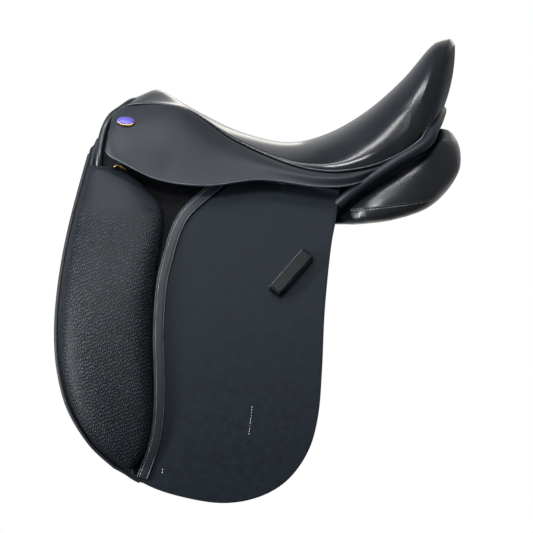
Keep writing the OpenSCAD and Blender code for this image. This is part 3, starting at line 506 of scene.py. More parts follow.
# %% Seat surface
SEAT_RUN, SEAT_H, POMMEL_RISE, CANTLE_RISE, EDGE_DROP = 425.131, 108, 64, 135, 36
TWIST_W, SEAT_W, SEAT_ROLL, SEAT_T, FOAM_T, WELT_D = 144, 252, 2.4, 2.4, 17, 5
STEP = 0.004
seat_middle = [(-0.43, 1, 0), (-0.375, 0.99, 0), (-0.266, 0.61, 0), (-0.142, 0.217, 0), (0, 0, 0),
               (0.12, 0, 0.074), (0.245, 0, 0.292), (0.36, 0, 0.607), (0.446, 0, 0.922), (0.49, 0, 1),
               (0.522, 0, 0.947)]
seat_edge = [(-0.536, -0.18, 0.53, 0, 0), (-0.468, -0.11, 0.79, 0, 0), (-0.312, 0, 0.69, 0, 0),
             (-0.158, 0.18, 0.07, 0, 0), (0, 0.57, 0, 0.69, 0), (0.13, 0.93, 0, 1, 0),
             (0.254, 1, 0, 0.83, 0), (0.347, 0.85, 0, 0.38, 0), (0.4, 0.7, 0, 0, 0.01),
             (0.421, 0.61, 0, 0, 0.08), (0.437, 0.48, 0, 0, 0.16)]
middle_points = [Vector((x * SEAT_RUN, 0, SEAT_H + p * POMMEL_RISE + c * CANTLE_RISE))
                 for x, p, c in seat_middle]
edge_points = [Vector((x * SEAT_RUN, mix(TWIST_W, SEAT_W, w) / 2,
                       SEAT_H + p * POMMEL_RISE - d * EDGE_DROP + c * CANTLE_RISE))
               for x, w, p, d, c in seat_edge]


def seat_point(u, v):
    c, e, w = curve_at(middle_points, u), curve_at(edge_points, u), abs(v)
    return Vector((mix(c.x, e.x, w * w), e.y * v, mix(c.z, e.z, w ** SEAT_ROLL)))


def surface_normal(point, u, v):
    along = point(u + STEP, v) - point(u - STEP, v)
    return along.cross(point(u, v + STEP) - point(u, v - STEP)).normalized()


def seat_normal(u, v):
    return surface_normal(seat_point, u, v)


def seat_at(u, v, depth):
    return seat_point(u, v) - depth * seat_normal(u, v)


def edge_out(u):
    along = seat_point(u + STEP, 1) - seat_point(u - STEP, 1)
    return seat_normal(u, 1).cross(along).normalized()


def seat_layer(columns, rows, us, vs, top, thickness, rounding):
    place = lambda s, t: seat_at(mix(us[0], us[1], s), mix(vs[0], vs[1], t), top)
    return thicken(sheet(columns, rows, place, (0, 0, 1)), thickness, rounding)


print("seat from", seat_point(0, 0), "to", seat_point(1, 0))

# %% [markdown]
# The seat leather is blocked wet over the foam and sewn to the welts. It is a sheet with a turned rim.
# The foam under it thins out towards the cantle; the webs are strained over the tree below.

# %% Seat leather, foam and webs
GAP, CURL, OVAL = 0.3, 3.2, 0.985
POMMEL_CROWN, CANTLE_CROWN = 3.5, 4.5
SEAT_WEB_T = 1.8


def seat_skin(s, t):
    """Outside of the seat leather: round across the rear, with edges that roll down into the seams"""
    v = math.sin(math.pi / 2 * (2 * t - 1))
    side = max(0, (abs(v) - 0.955) / 0.045) * min(1, (1 - s) / 0.12)
    height = curve_at(middle_points, s).z - curve_at(edge_points, s).z
    round_fall = (1 - math.sqrt(1 - (OVAL * v) ** 2)) / (1 - math.sqrt(1 - OVAL ** 2))
    share = max(0, min(1, (s - 0.4) / 0.2, (0.95 - s) / 0.2))
    fuller = height * (abs(v) ** SEAT_ROLL - round_fall) * share
    crown = (POMMEL_CROWN * math.exp(-((s - 0.07) / 0.06) ** 2)
             + CANTLE_CROWN * math.exp(-((s - 0.955) / 0.03) ** 2))
    return seat_at(s, v, CURL * side ** 2) + Vector((0, 0, fuller + crown * (1 - v * v)))


seat_shape = thicken(sheet(130, 96, seat_skin, (0, 0, 1)), SEAT_T, 0.7)
seat = piece("seat_calf_leather", seat_shape, [seat_leather, seat_leather], ["seat_cover"])
foam_top = SEAT_T + 2 * GAP
foam_shape = sheet(80, 40, lambda s, t: seat_at(mix(0.012, 0.985, s), mix(-0.98, 0.98, t), foam_top),
                   (0, 0, 1))
underside, caps = extruded(foam_shape)
foam_shape.normal_update()
for vert in underside:
    lift = (vert.co.z - SEAT_H) / CANTLE_RISE if vert.co.x > 0 else 0
    vert.co -= vert.normal * FOAM_T * mix(1, 0.3, max(0, min(1, (lift - 0.45) / 0.5)))
bmesh.ops.recalc_face_normals(foam_shape, faces=foam_shape.faces)
padding = piece("seat_latex_foam", foam_shape, [foam], ["seat_foam"])
web_top = foam_top + FOAM_T + GAP
piece("seat_web_long_flax", seat_layer(60, 12, (0.14, 0.77), (-0.28, 0.28), web_top, SEAT_WEB_T, 0.4),
      [webbing, webbing], ["seat_web_long"], angle=40)
web_top += SEAT_WEB_T + GAP
piece("seat_web_cross_flax", seat_layer(12, 40, (0.44, 0.54), (-0.49, 0.49), web_top, SEAT_WEB_T, 0.4),
      [webbing, webbing], ["seat_web_cross"], angle=40)

# %% [markdown]
# The welt is a strip of leather folded over a cord and sewn into the seam between seat and skirt. It shows
# as a thin round bead, so two round cords along the seam are enough: the seam's filling and its bead.

# %% Welts
WELT_CORD_R, WELT_BEAD_R, CANTLE_BEAD_R = 1.8, 1.1, 1.3


def welt_line(depth, out):
    run = [0.985 * k / 110 for k in range(111)]
    return [seat_at(u, 1, depth) + (WELT_D / 2 + GAP + out) * edge_out(u) for u in run]


def welt_shape():
    return joined(cord(welt_line(SEAT_T / 2, 0), WELT_CORD_R), cord(welt_line(0.2, 0.6), WELT_BEAD_R, 8), 1)


# The bead takes the paler piping leather, a painted highlight along the seam
pair("welt_bead", welt_shape, [panel_leather, piping_highlight_leather], ["welt_{}"])
seam = [seat_at(0.995, math.sin(math.pi / 2 * k / 40), 1.0) for k in range(-40, 41)]
piece("cantle_seam_bead", cord(seam, CANTLE_BEAD_R, 8), [flap_leather])

# %% [markdown]
# Skirts lie over the stirrup bars. Each is cut in one piece from bridle leather, sewn along the welt, and
# bends up to free the bar. Here each skirt is one sheet on no body, and the band across its hinge is worked
# out.

# %% Barrel curve and skirt surface
SKIRT_T, SKIRT_GAP, SKIRT_SWELL, SKIRT_SHARE, SEAM_GAP, TAIL_W = 3.6, 24, 13, 0.735, 3, 3
FLAP_T, HEM_TILT = 4.5, math.radians(4)
FLAP_TOP_Z, FLAP_LEN, FLAP_W, FLAP_HALF, BARREL_R = 77.5, 441, 365.5, 240, 916
HEM_Z = FLAP_TOP_Z - FLAP_LEN
BARREL_Z0 = HEM_Z - BARREL_R * math.sin(HEM_TILT)
BARREL_Y0 = FLAP_HALF - BARREL_R * math.cos(HEM_TILT)


def barrel_at(p, n):
    """Point at side view place p, n outside the curve that the flaps follow round the horse"""
    return Vector((p[0], BARREL_Y0 + math.sqrt((BARREL_R + n) ** 2 - (p[1] - BARREL_Z0) ** 2), p[1]))


def barrel_out(z):
    tilt = math.asin((z - BARREL_Z0) / BARREL_R)
    return Vector((0, math.cos(tilt), math.sin(tilt)))


skirt_edge = [(-0.558, 97), (-0.533, 81), (-0.419, 56), (-0.249, 48.5), (-0.074, 57.5), (0.105, 48.5),
              (0.213, 52), (0.299, 70)]


def skirt_top(u):
    share = u * SKIRT_SHARE
    return seat_at(share, 1, SEAT_T / 2 - SKIRT_T / 2) + (WELT_D + SEAM_GAP) * edge_out(share)


skirt_low = [barrel_at((x * SEAT_RUN, z), FLAP_T + SKIRT_GAP) for x, z in skirt_edge[:-1]]
tail_x, tail_z = skirt_edge[-1]
skirt_low.append(Vector((tail_x * SEAT_RUN, edge_points[7].y + WELT_D + 1, tail_z)))
skirt_low.append(skirt_top(1) + TAIL_W * edge_out(SKIRT_SHARE))


def skirt_point(u, v):
    swell = SKIRT_SWELL * (1 if u < 0.6 else (1 - u) / 0.4)
    return mix(skirt_top(u), curve_at(skirt_low, u), v) + Vector((0, 4 * swell * v * (1 - v), 0))


def skirt_normal(u, v):
    return surface_normal(skirt_point, u, v)


# %% [markdown]
# A band across a bend starts above the hinge and ends below it, square to its axis.

# %% Skirts
def across(joint, down, above, below):
    """Start and end, in metres, of a band across a joint's axis, measured along the direction down"""
    middle, axis = Vector(joints[joint]["pos_m"]), Vector(joints[joint]["axis"]).normalized()
    way = (down - down.dot(axis) * axis).normalized()
    return middle - above * MM * way, middle + below * MM * way


SKIRT_DOWN = Vector((0, 0.7, -0.7))
MIRROR = Vector((1, -1, 1))
SKIRT_CUT, SKIRT_FLARE, SEAM_ROLL, SKIRT_RIM_R = 0.972, 11, 2.4, 0.9


def skirt_skin(s, t):
    """Outside of the skirt, whose upper edge rolls into the welted seam and whose lower edge flares"""
    v = (SKIRT_CUT - 0.05 * math.exp(-((s - 0.17) / 0.1) ** 2)) * t ** 1.5
    s += 0.012 * v * (1 - s) ** 10
    flare = 6.75 * SKIRT_FLARE * v * (1 - v) ** 2 - 4 * SKIRT_SWELL * v * (1 - v)
    share = max(0, min(1, (s - 0.16) / 0.12)) * (1 if s < 0.6 else (1 - s) / 0.4)
    rolled = SEAM_ROLL * max(0, 1 - v / 0.06) ** 2 * skirt_normal(s, v)
    return skirt_point(s, v) - rolled + Vector((0, flare * share, 0))


def skirt_shape():
    body = thicken(sheet(110, 40, skirt_skin, (0, 1, 1)), SKIRT_T, 1.2, 2)
    # A cord of the paler edge leather along the lower edge paints the highlight on the skirt's rim
    rim = [skirt_skin(0.96 * k / 150, 1) for k in range(151)]
    return joined(body, cord(rim, SKIRT_RIM_R, 8), 1)


for side, skirt in pair("skirt_bridle_leather", skirt_shape, [skirt_leather, edge_and_highlight_leather],
                        ["skirt_{}", "skirt_leaf_{}"], None):
    down = SKIRT_DOWN if side == "right" else SKIRT_DOWN * MIRROR
    start, end = across(f"skirt_lift_{side}", down, 6, 6)
    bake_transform(skirt)
    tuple(start)
    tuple(end)

# %% [markdown]
# Facings close the front of the pommel and the back of the cantle. The pommel's edge is a padded roll that
# runs on down the front of the saddle, over the points of the tree, to the top of the flaps.

# %% Facings and pommel roll
FACING_T, FACING_FALL, FACING_BULGE = 3, 44, 2.2


def arch_at(v, s):
    bulge = 4 * FACING_BULGE * s * (1 - s)
    return (seat_point(0, v) - Vector((1.6 + FACING_T, 0, 2.6))
            + s * Vector((1.8, -28 * v, 2.6 - FACING_FALL)) - Vector((bulge, 0, 0)))


facing = thicken(sheet(64, 14, lambda s, t: arch_at(2 * s - 1, t), (-1, 0, 0)), FACING_T, 0.6)
piece("front_facing_leather", facing, [panel_leather, edge_and_highlight_leather], ["front_facing"])


def facing_low(v):
    return Vector((0.489 * SEAT_RUN - 27 * v * v, 103 * v, SEAT_H + 0.337 * CANTLE_RISE - 46.5 * v * v))


def rear_at(v, s):
    top = seat_point(1, v) + 0.7 * (seat_point(1, v) - seat_point(1 - STEP, v)).normalized()
    return mix(top, facing_low(v), s) + Vector((16 * s * (1 - s), 0, 0))


facing = thicken(sheet(48, 24, lambda s, t: rear_at(2 * s - 1, t), (1, 0, 0)), SEAT_T, 0.6)
piece("rear_facing_leather", facing, [skirt_leather, edge_and_highlight_leather], ["rear_facing"])

ROLL_R = 5.5
roll_over = [seat_point(0, v) + Vector((-4.5, 0, -4 if v > 0.5 else -7))
             for v in (0, 0.2, 0.4, 0.6, 0.8, 0.95)]
roll_down = [Vector(p) for p in (
    (-236, 70, 128), (-241, 79, 112), (-243.5, 88, 96), (-245, 92, 80), (-246, 90, 68))]
half = [curve_at(roll_over + roll_down, k / 60) for k in range(61)]
whole = [p * MIRROR for p in reversed(half[1:])] + half
piece("pommel_roll_leather", cord(whole, ROLL_R, 12), [panel_leather])

# %% [markdown]
# The flap is a flat cut of bridle leather that takes the curve of the horse's side. In side view it is a
# patch between four edge curves; the patch is then laid on the barrel curve.

# %% Flaps
FLAP_FRONT_X = -0.6935 * SEAT_RUN
bend_front, bend_rear = Vector((0.104, 0)), Vector((1, 0.074))
flap_front = [bend_front] + [Vector(p) for p in (
    (0.068, 0.119), (0.032, 0.252), (0.008, 0.386), (0, 0.504), (0.011, 0.615), (0.047, 0.724),
    (0.123, 0.826), (0.208, 0.885))]
flap_lower = [Vector(p) for p in (
    (0.208, 0.885), (0.305, 0.944), (0.427, 0.98), (0.577, 1), (0.706, 0.983), (0.81, 0.933), (0.885, 0.847),
    (0.921, 0.742), (0.935, 0.608), (0.945, 0.431), (0.966, 0.252), (0.984, 0.164))] + [bend_rear]
CORNER = 5 / 12


def flap_xz(p):
    """Side view place from shares of the flap's width and length"""
    return Vector((FLAP_FRONT_X + FLAP_W * p[0], FLAP_TOP_Z - FLAP_LEN * p[1]))


def patch(top, low, front, rear):
    """Point of the patch between four edge curves, each a function from 0 to 1"""
    corners = top(0), top(1), low(0), low(1)

    def at(s, t):
        ruled = top(s) * (1 - t) + low(s) * t + front(t) * (1 - s) + rear(t) * s
        a, b, c, d = corners
        return ruled - a * (1 - s) * (1 - t) - b * s * (1 - t) - c * (1 - s) * t - d * s * t
    return at


flap_patch = patch(lambda s: mix(bend_front, bend_rear, s), lambda s: curve_at(flap_lower, CORNER * s),
                   lambda t: curve_at(flap_front, t), lambda t: curve_at(flap_lower, 1 - (1 - CORNER) * t))


def side_sheet(columns, rows, at, n):
    """Sheet over a patch in side view, laid n outside the barrel curve"""
    return sheet(columns, rows, lambda s, t: barrel_at(flap_xz(at(s, t)), n), (0, 1, 0))


def flap_shape():
    return thicken(side_sheet(72, 90, flap_patch, FLAP_T), FLAP_T, 1.2, 3)


FLAP_DOWN = Vector((0, 0.53, -0.85))


def bending_pair(name, make, finishes, nodes=()):
    """A piece for each side on no body, with the band across the flap's bend worked out for it"""
    for side, made in pair(name, make, finishes, nodes, None):
        down = FLAP_DOWN if side == "right" else FLAP_DOWN * MIRROR
        start, end = across(f"flap_lift_{side}", down, 1, 11)
        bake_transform(made)
        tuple(start)
        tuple(end)


# The flap's rim takes the same near-black painted-shade leather
bending_pair("flap_bridle_leather", flap_shape, [flap_leather, painted_shade_leather], ["flap_{}"])

# %% [markdown]
# The flap's head runs up under the skirt with a slot for the stirrup bar. The CAD solid has the right
# outline, so a merged copy of it gets softened edges. The same serves other small cut pieces.

# %% Pieces softened from the CAD model
def softened(name, node, finishes, body, width, segments=2):
    shape = bmesh.new()
    shape.from_mesh(frame["nodes"][node].data)
    bmesh.ops.scale(shape, vec=(1 / MM, 1 / MM, 1 / MM), verts=shape.verts)
    bmesh.ops.remove_doubles(shape, verts=shape.verts, dist=0.02)
    bmesh.ops.dissolve_limit(shape, angle_limit=math.radians(0.5), verts=shape.verts, edges=shape.edges)
    sharp = [edge for edge in shape.edges if len(edge.link_faces) == 2 and edge.calc_face_angle() > 0.9]
    bmesh.ops.bevel(shape, geom=sharp, offset=width, segments=segments, profile=0.5, affect="EDGES",
                    material=-1, clamp_overlap=True)
    bmesh.ops.triangulate(shape, faces=[face for face in shape.faces if len(face.verts) > 4])
    return piece(name, shape, finishes, [node], body, 40)


for side in SIDES:
    softened(f"flap_head_leather_{side}", f"flap_head_{side}", [flap_leather], "root", 0.8)
    softened(f"strap_loop_leather_{side}", f"strap_loop_{side}", [trim_leather],
             f"flap_{side}", 0.5)
    softened(f"dee_chape_leather_{side}", f"dee_chape_{side}", [trim_leather], "root", 0.5)
    for place in ("front", "rear"):
        softened(f"girth_strap_leather_{place}_{side}", f"girth_strap_{place}_{side}", [strap_leather],
                 f"strap_{place}_{side}", 0.7)

# %% [markdown]
# The sweat flap hangs inside the flap and shows as a narrow step in front of it. Its edge is bound with a
# round cord, which thickens to a short roll at the top corner.

# %% Sweat flaps
SWEAT_N, SWEAT_T, BINDING_R, CORNER_ROLL_R = -13.4, 3.5, 2.8, 4.2
sweat_share = 7 / FLAP_W
sweat_front = [Vector((0.104, -0.05))] + [p - Vector((sweat_share, 0)) for p in flap_front[1:8]]
sweat_front.append(Vector((0.2 - sweat_share / 2, 0.893)))
sweat_low = [sweat_front[-1]] + [Vector(p) for p in (
    (0.228, 0.91), (0.2654, 0.93), (0.31, 0.944), (0.427, 0.957), (0.577, 0.974), (0.7, 0.957),
    (0.798, 0.906))]
sweat_rear = [Vector(p) for p in ((0.955, 0.1), (0.945, 0.16), (0.93, 0.252), (0.918, 0.431), (0.91, 0.608),
                                  (0.898, 0.73), (0.866, 0.82), (0.798, 0.906))]
sweat_top = [Vector(p) for p in ((0.104, -0.05), (0.137, -0.071), (0.2, -0.073), (0.3, -0.055), (0.5, 0),
                                 (0.8, 0.06), (0.955, 0.1))]
sweat_patch = patch(lambda s: curve_at(sweat_top, s), lambda s: curve_at(sweat_low, s),
                    lambda t: curve_at(sweat_front, t), lambda t: curve_at(sweat_rear, t))


def sweat_shape():
    return thicken(side_sheet(60, 72, sweat_patch, SWEAT_N), SWEAT_T, 1.2, 3)


def sweat_binding():
    down = [curve_at(sweat_front, k / 90) for k in range(2, 91)]
    under = [curve_at(sweat_low, k / 60) for k in range(1, 22)]
    places = [flap_xz(p) + Vector((1.5, 0)) for p in down + under]
    corner = [photo_place(*p) for p in ((99, 140), (96, 147), (93.5, 156), (91, 167))]
    corner = [curve_at(corner, k / 24) for k in range(25)]
    edging, roll = ([barrel_at(p, SWEAT_N - SWEAT_T / 2) for p in line] for line in (places, corner))
    return joined(cord(edging, BINDING_R), cord(roll, CORNER_ROLL_R), 0)


pair("sweat_flap_leather", sweat_shape, [keeper_leather, keeper_leather], ["sweat_flap_{}"])
pair("sweat_flap_binding", sweat_binding, [trim_leather])

# %% [markdown]
# Knee blocks and panels are stuffed. Each starts as a plain closed form a little too small, is remeshed
# into even squares and blown up by a short cloth simulation, which rounds it as its filling would. The
# face that is sewn down is held. The right one is simulated and mirrored for the left.

# %% Stuffing by cloth simulation
CLOTH_FRAMES = 20


def plumped(shape, voxel, pressure, reach, held):
    """Closed shape swollen by up to reach, apart from the places where held(place) is true"""
    bmesh.ops.scale(shape, vec=(MM, MM, MM), verts=shape.verts)
    blank = placed("stuffing", mesh_of("stuffing", shape))
    remesh = blank.modifiers.new("even", "REMESH")
    remesh.mode, remesh.voxel_size = "VOXEL", voxel * MM
    smooth = blank.modifiers.new("smooth", "SMOOTH")
    smooth.iterations, smooth.factor = 4, 0.5
    even = bpy.data.meshes.new_from_object(blank.evaluated_get(bpy.context.evaluated_depsgraph_get()))
    blank.modifiers.clear()
    blank.data = even
    rest = [vert.co.copy() for vert in even.vertices]
    group = blank.vertex_groups.new(name="held")
    group.add([i for i, place in enumerate(rest) if held(place / MM)], 1.0, "REPLACE")
    cloth = blank.modifiers.new("cloth", "CLOTH")
    cloth.settings.use_pressure = True
    cloth.settings.uniform_pressure_force = pressure
    cloth.settings.effector_weights.gravity = 0
    cloth.settings.vertex_group_mass = group.name
    cloth.point_cache.frame_end = CLOTH_FRAMES
    for number in range(1, CLOTH_FRAMES + 1):
        bpy.context.scene.frame_set(number)
    swollen = bpy.data.meshes.new_from_object(blank.evaluated_get(bpy.context.evaluated_depsgraph_get()))
    for vert, place in zip(swollen.vertices, rest):
        move = vert.co - place
        vert.co = place + move * min(1, reach * MM / max(move.length, 1e-9))
    bpy.context.scene.frame_set(1)
    even = swollen
    full = bmesh.new()
    full.from_mesh(even)
    bmesh.ops.scale(full, vec=(1 / MM, 1 / MM, 1 / MM), verts=full.verts)
    for _ in range(6):
        bmesh.ops.smooth_vert(full, verts=full.verts, factor=0.5, use_axis_x=True, use_axis_y=True,
                              use_axis_z=True)
    bmesh.ops.recalc_face_normals(full, faces=full.faces)
    bpy.data.objects.remove(blank)
    print("stuffed", len(full.verts), "points")
    return full


def stuffed_pair(name, full, finish, node, body):
    """A padded piece for each side, smoothed by one level of subdivision"""
    for side, made in pair(name, full.copy, [finish], [node], body, 70):
        sub = made.modifiers.new("smooth", "SUBSURF")
        sub.levels = sub.render_levels = 1


# %% [markdown]
# The knee block is a foam core under pebbled leather, glued and sewn to the flap. Its front edge is thick
# and round, it thins out under the skirt, and a thin sheet of leather, coloured nearly black as painted
# shade, lies between it and the strip.

# %% Knee blocks
BLOCK_T, BASE_T = 24, 0.8
block_edges = [
    ((0.105, 0.006), (0.187, 0.012), 0.2), ((0.087, 0.056), (0.258, 0.03), 0.28),
    ((0.069, 0.119), (0.319, 0.077), 0.38), ((0.044, 0.211), (0.362, 0.116), 0.52),
    ((0.023, 0.306), (0.375, 0.173), 0.75), ((0.0085, 0.401), (0.359, 0.258), 0.92),
    ((0.0024, 0.496), (0.337, 0.371), 1), ((0.0095, 0.594), (0.328, 0.505), 1),
    ((0.035, 0.692), (0.333, 0.653), 0.95), ((0.081, 0.778), (0.335, 0.751), 0.82),
    ((0.15, 0.844), (0.317, 0.832), 0.62), ((0.217, 0.885), (0.287, 0.879), 0.42),
    ((0.248, 0.904), (0.267, 0.901), 0.25)]
block_front = [Vector(f) for f, r, share in block_edges]
block_rear = [Vector(r) for f, r, share in block_edges]
block_share = [share for f, r, share in block_edges]
BLOCK_FOOT, BLOCK_SUNK = FLAP_T + GAP, 3.6


def block_place(s, t):
    return flap_xz(mix(curve_at(block_front, s), curve_at(block_rear, s), t))


def block_skin(s, t):
    p = block_place(s, t)
    crown = max(0, 1 - abs(2 * t - 1) ** (2.8 if t < 0.5 else 5)) ** 0.5
    rise = 1 + 0.94 * BLOCK_T * curve_at(block_share, s) * crown
    return barrel_at(p, BLOCK_FOOT) + rise * barrel_out(p.y)


def block_form():
    shape = sheet(90, 36, block_skin, (0, 1, 0))
    underside, caps = extruded(shape)
    for vert in underside:
        foot = barrel_at((vert.co.x, vert.co.z), BLOCK_FOOT - BLOCK_SUNK)
        out = barrel_out(vert.co.z)
        vert.co -= out * (vert.co - foot).dot(out)
    bmesh.ops.recalc_face_normals(shape, faces=shape.faces)
    return shape


def on_flap(place):
    """True low on the block, where it is sewn to the flap"""
    return (place - barrel_at((place.x, place.z), BLOCK_FOOT)).dot(barrel_out(place.z)) < 2.5


block_full = plumped(block_form(), 3.5, 4, 3, on_flap)
stuffed_pair("knee_block_pebbled_leather", block_full, grain_leather, "knee_block_{}",
             "flap_{}")

strip_line = [Vector(p) for p in (
    (0.6, 0.02), (0.562, 0.055), (0.512, 0.09), (0.448, 0.14), (0.412, 0.193), (0.387, 0.259), (0.36, 0.357),
    (0.349, 0.5), (0.353, 0.639), (0.35, 0.743), (0.337, 0.817), (0.312, 0.882), (0.292, 0.925))]
base_front = [mix(f, r, 0.5) for f, r in zip(block_front, block_rear)] + [Vector((0.262, 0.916))]
base_patch = patch(lambda s: mix(base_front[0], strip_line[0], s),
                   lambda s: mix(base_front[-1], strip_line[-1], s),
                   lambda t: curve_at(base_front, t), lambda t: curve_at(strip_line, t))


def base_shape():
    return thicken(side_sheet(30, 80, base_patch, FLAP_T + 0.5), BASE_T, 0.3, 1)


bending_pair("knee_block_base_leather", base_shape, [painted_shade_leather, edge_and_highlight_leather])

# %% [markdown]
# A narrow strip of leather binds the rear edge of the block's base. It is crowned, with a bead along each
# edge, and is sewn down with one close row of waxed linen thread.

# %% Binding strips with their stitches
STRIP_W, STRIP_T, STRIP_FRONT, BEAD_R = 15, 1.6, -0.8, 0.8
STITCH_PITCH, STITCH_L, STITCH_W = 2.7, 1.9, 0.9


def strip_place(s, c):
    """Side view place at a share s along the strip and c from -1 at its front edge to 1 at its rear"""
    spot, ahead = flap_xz(curve_at(strip_line, s)), flap_xz(curve_at(strip_line, s + STEP))
    along = (ahead - flap_xz(curve_at(strip_line, s - STEP))).normalized()
    return spot + Vector((-along.y, along.x)) * c * STRIP_W / 2


def strip_rise(c):
    return FLAP_T + 1.2 + STRIP_T * (1 - 0.55 * c ** 4)


def strip_shape():
    def place(s, t):
        c = mix(STRIP_FRONT, 1, t)
        return barrel_at(strip_place(s, c), strip_rise(c))
    return thicken(sheet(120, 10, place, (0, 1, 0)), STRIP_T, 0.4, 2)


def strip_path(c, count=240):
    return [barrel_at(strip_place(k / count, c), strip_rise(c)) for k in range(count + 1)]


def strip_row(c):
    path = strip_path(c)
    return stitches(path, [barrel_out(p.z) for p in path], STITCH_PITCH, STITCH_L, STITCH_W)


bending_pair("binding_strip_leather", strip_shape, [trim_leather, edge_and_highlight_leather],
             ["binding_strip_{}"])
# The beads take the paler edge leather, which paints their highlight
for edge, c in (("front", -0.75), ("rear", 0.93)):
    bending_pair(f"binding_bead_{edge}", lambda: cord(strip_path(c, 120), BEAD_R, 6), [edge_and_highlight_leather])
bending_pair("binding_stitches", lambda: strip_row(-0.4), [thread])

# %% [markdown]
# The keeper takes the loose end of the stirrup leather. It is a short strap whose ends go through slits in
# the flap, so it is swept along a line that rises straight from the flap and runs flat between.

# %% Keepers and the small row of stitches
KEEPER_L, KEEPER_W, KEEPER_T, KEEPER_GAP, KEEPER_SLANT = 72, 16, 2.4, 8, 51
TACK_PITCH = 3.6
keeper_spot = flap_xz((0.824, 0.323))
keeper_frame = (Matrix.Translation(barrel_at(keeper_spot, FLAP_T + GAP))
                @ Matrix.Rotation(math.asin((keeper_spot.y - BARREL_Z0) / (BARREL_R + FLAP_T + GAP)), 4, "X")
                @ Matrix.Rotation(math.radians(-KEEPER_SLANT), 4, "Y"))
turn = 4.5
rise = KEEPER_GAP + KEEPER_T
end = KEEPER_L / 2
keeper_side = [Vector((end, 0.2)), Vector((end, rise - turn)), Vector((end - 0.3 * turn, rise - 0.3 * turn)),
               Vector((end - turn, rise)), Vector((end - 3 * turn, rise + 0.3)), Vector((0, rise + 0.5))]
keeper_line = keeper_side + [Vector((-p.x, p.y)) for p in reversed(keeper_side[:-1])]


def keeper_shape():
    def place(s, t):
        p = curve_at(keeper_line, s)
        return keeper_frame @ Vector((p.x, p.y, mix(-KEEPER_W / 2, KEEPER_W / 2, t)))
    return thicken(sheet(60, 10, place, (0, 1, 0)), KEEPER_T, 0.8, 3)


pair("keeper_leather", keeper_shape, [keeper_leather, edge_and_highlight_leather], ["keeper_{}"],
     "flap_{}")


def tack_row(first, last):
    line = [mix(photo_place(*first), photo_place(*last), k / 20) for k in range(21)]
    path = [barrel_at(p, FLAP_T + 0.15) for p in line]
    return stitches(path, [barrel_out(p.z) for p in path], TACK_PITCH, 0.75 * TACK_PITCH, 1.0)


for name, first, last in (("loop", (252.5, 405), (249, 434)), ("tack", (163.3, 467), (162.8, 472))):
    pair(f"flap_{name}_stitches", lambda: tack_row(first, last), [thread], (), "flap_{}")

# %% [markdown]
# Panels are leather cases flocked with wool. Each is a ring of eight corners carried along the saddle, and
# is stuffed like the knee block. A roll covers the seam round the top; a gusset seam runs along the rear.

# %% Panels
CHANNEL_W, PANEL_W, PANEL_SEW, PANEL_ROLL_R = 72, 262, 3.2, 7.2
panel_rows = [
    (-0.555, 0, 0, 86, 66, 60, 80), (-0.53, 0, 0, 90, 46, 34, 82), (-0.353, 0, 0, 100, 32, 6, 62),
    (-0.141, 0, 0, 78, 28, -1, 42), (0.05, 0, 0, 66, 26, -2, 26), (0.158, 0, 0, 74, 26, -2, 12),
    (0.24, 1, 0.96, 88, 27, 0, 34), (0.33, 1, 0.93, 106, 31, 5, 60), (0.435, 0.9, 0.82, 124, 43, 20, 88),
    (0.502, 0.7, 0.6, 126, 63, 46, 106), (0.541, 0.5, 0.46, 102, 84, 74, 95)]
SWEAT_INNER = SWEAT_N - SWEAT_T


def panel_side(z, share):
    return share * PANEL_W / 2 if share else barrel_at((0, z), SWEAT_INNER - GAP).y - PANEL_SEW


def panel_corners(row):
    x, low, high, inner_top, inner_low, outer_low, outer_top = row
    a, b = Vector((CHANNEL_W / 2, inner_top)), Vector((CHANNEL_W / 2, inner_low))
    c, d = Vector((panel_side(outer_low, low), outer_low)), Vector((panel_side(outer_top, high), outer_top))
    bulge = Vector((11 if low else 0, 0))
    ring = (b, mix(b, c, 0.5) - Vector((0, 6)), c, mix(c, d, 0.3 if low else 0.5) + bulge,
            d, mix(d, a, 0.5) + Vector((2, 2)), a, mix(a, b, 0.5) - Vector((1, 0)))
    return [Vector((x * SEAT_RUN, p.x, p.y)) for p in ring]


panel_rings = [panel_corners(row) for row in panel_rows]


def panel_at(s, t):
    ring = [curve_at([r[k] for r in panel_rings], s) for k in range(8)]
    closed = [ring[-1]] + ring + ring[:2]
    return curve_at(closed, (1 + 8 * t) / 10)


def panel_form():
    shape = sheet(70, 48, panel_at, (0, 0, 1))
    bmesh.ops.remove_doubles(shape, verts=shape.verts, dist=0.01)
    bmesh.ops.holes_fill(shape, edges=[edge for edge in shape.edges if edge.is_boundary])
    bmesh.ops.recalc_face_normals(shape, faces=shape.faces)
    return shape


panel_full = plumped(panel_form(), 5, 4, 4, lambda place: place.x < 60 or place.y < CHANNEL_W / 2 + 6)
panel_tree = BVHTree.FromBMesh(panel_full)
stuffed_pair("panel_calf_leather", panel_full, panel_leather, "panel_{}", "root")


def panel_spot(px, py):
    place = photo_place(px, py)
    hit, normal, face, depth = panel_tree.ray_cast(Vector((place.x, 300, place.y)), Vector((0, -1, 0)))
    return hit, normal


seam_points = [Vector(p) for p in (
    (350, 210.5), (362, 210), (375, 209), (388, 207.7), (400, 206), (412, 204.3), (425, 202), (438, 197.5))]
seam_hits = [panel_spot(*curve_at(seam_points, k / 80)) for k in range(81)]
seam_hits = [(hit, normal) for hit, normal in seam_hits if hit]
seam_path = [hit for hit, normal in seam_hits]
seam_normals = [normal for hit, normal in seam_hits]
print("gusset seam", len(seam_path), "points on the panel")
pair("gusset_stitches", lambda: stitches(seam_path, seam_normals, 4.4, 3.0, 0.9), [thread])
piping_path = [p - 0.3 * n + Vector((0, 0, 2)) for p, n in seam_hits]
pair("gusset_piping", lambda: cord(piping_path, 1.2, 6), [panel_leather])

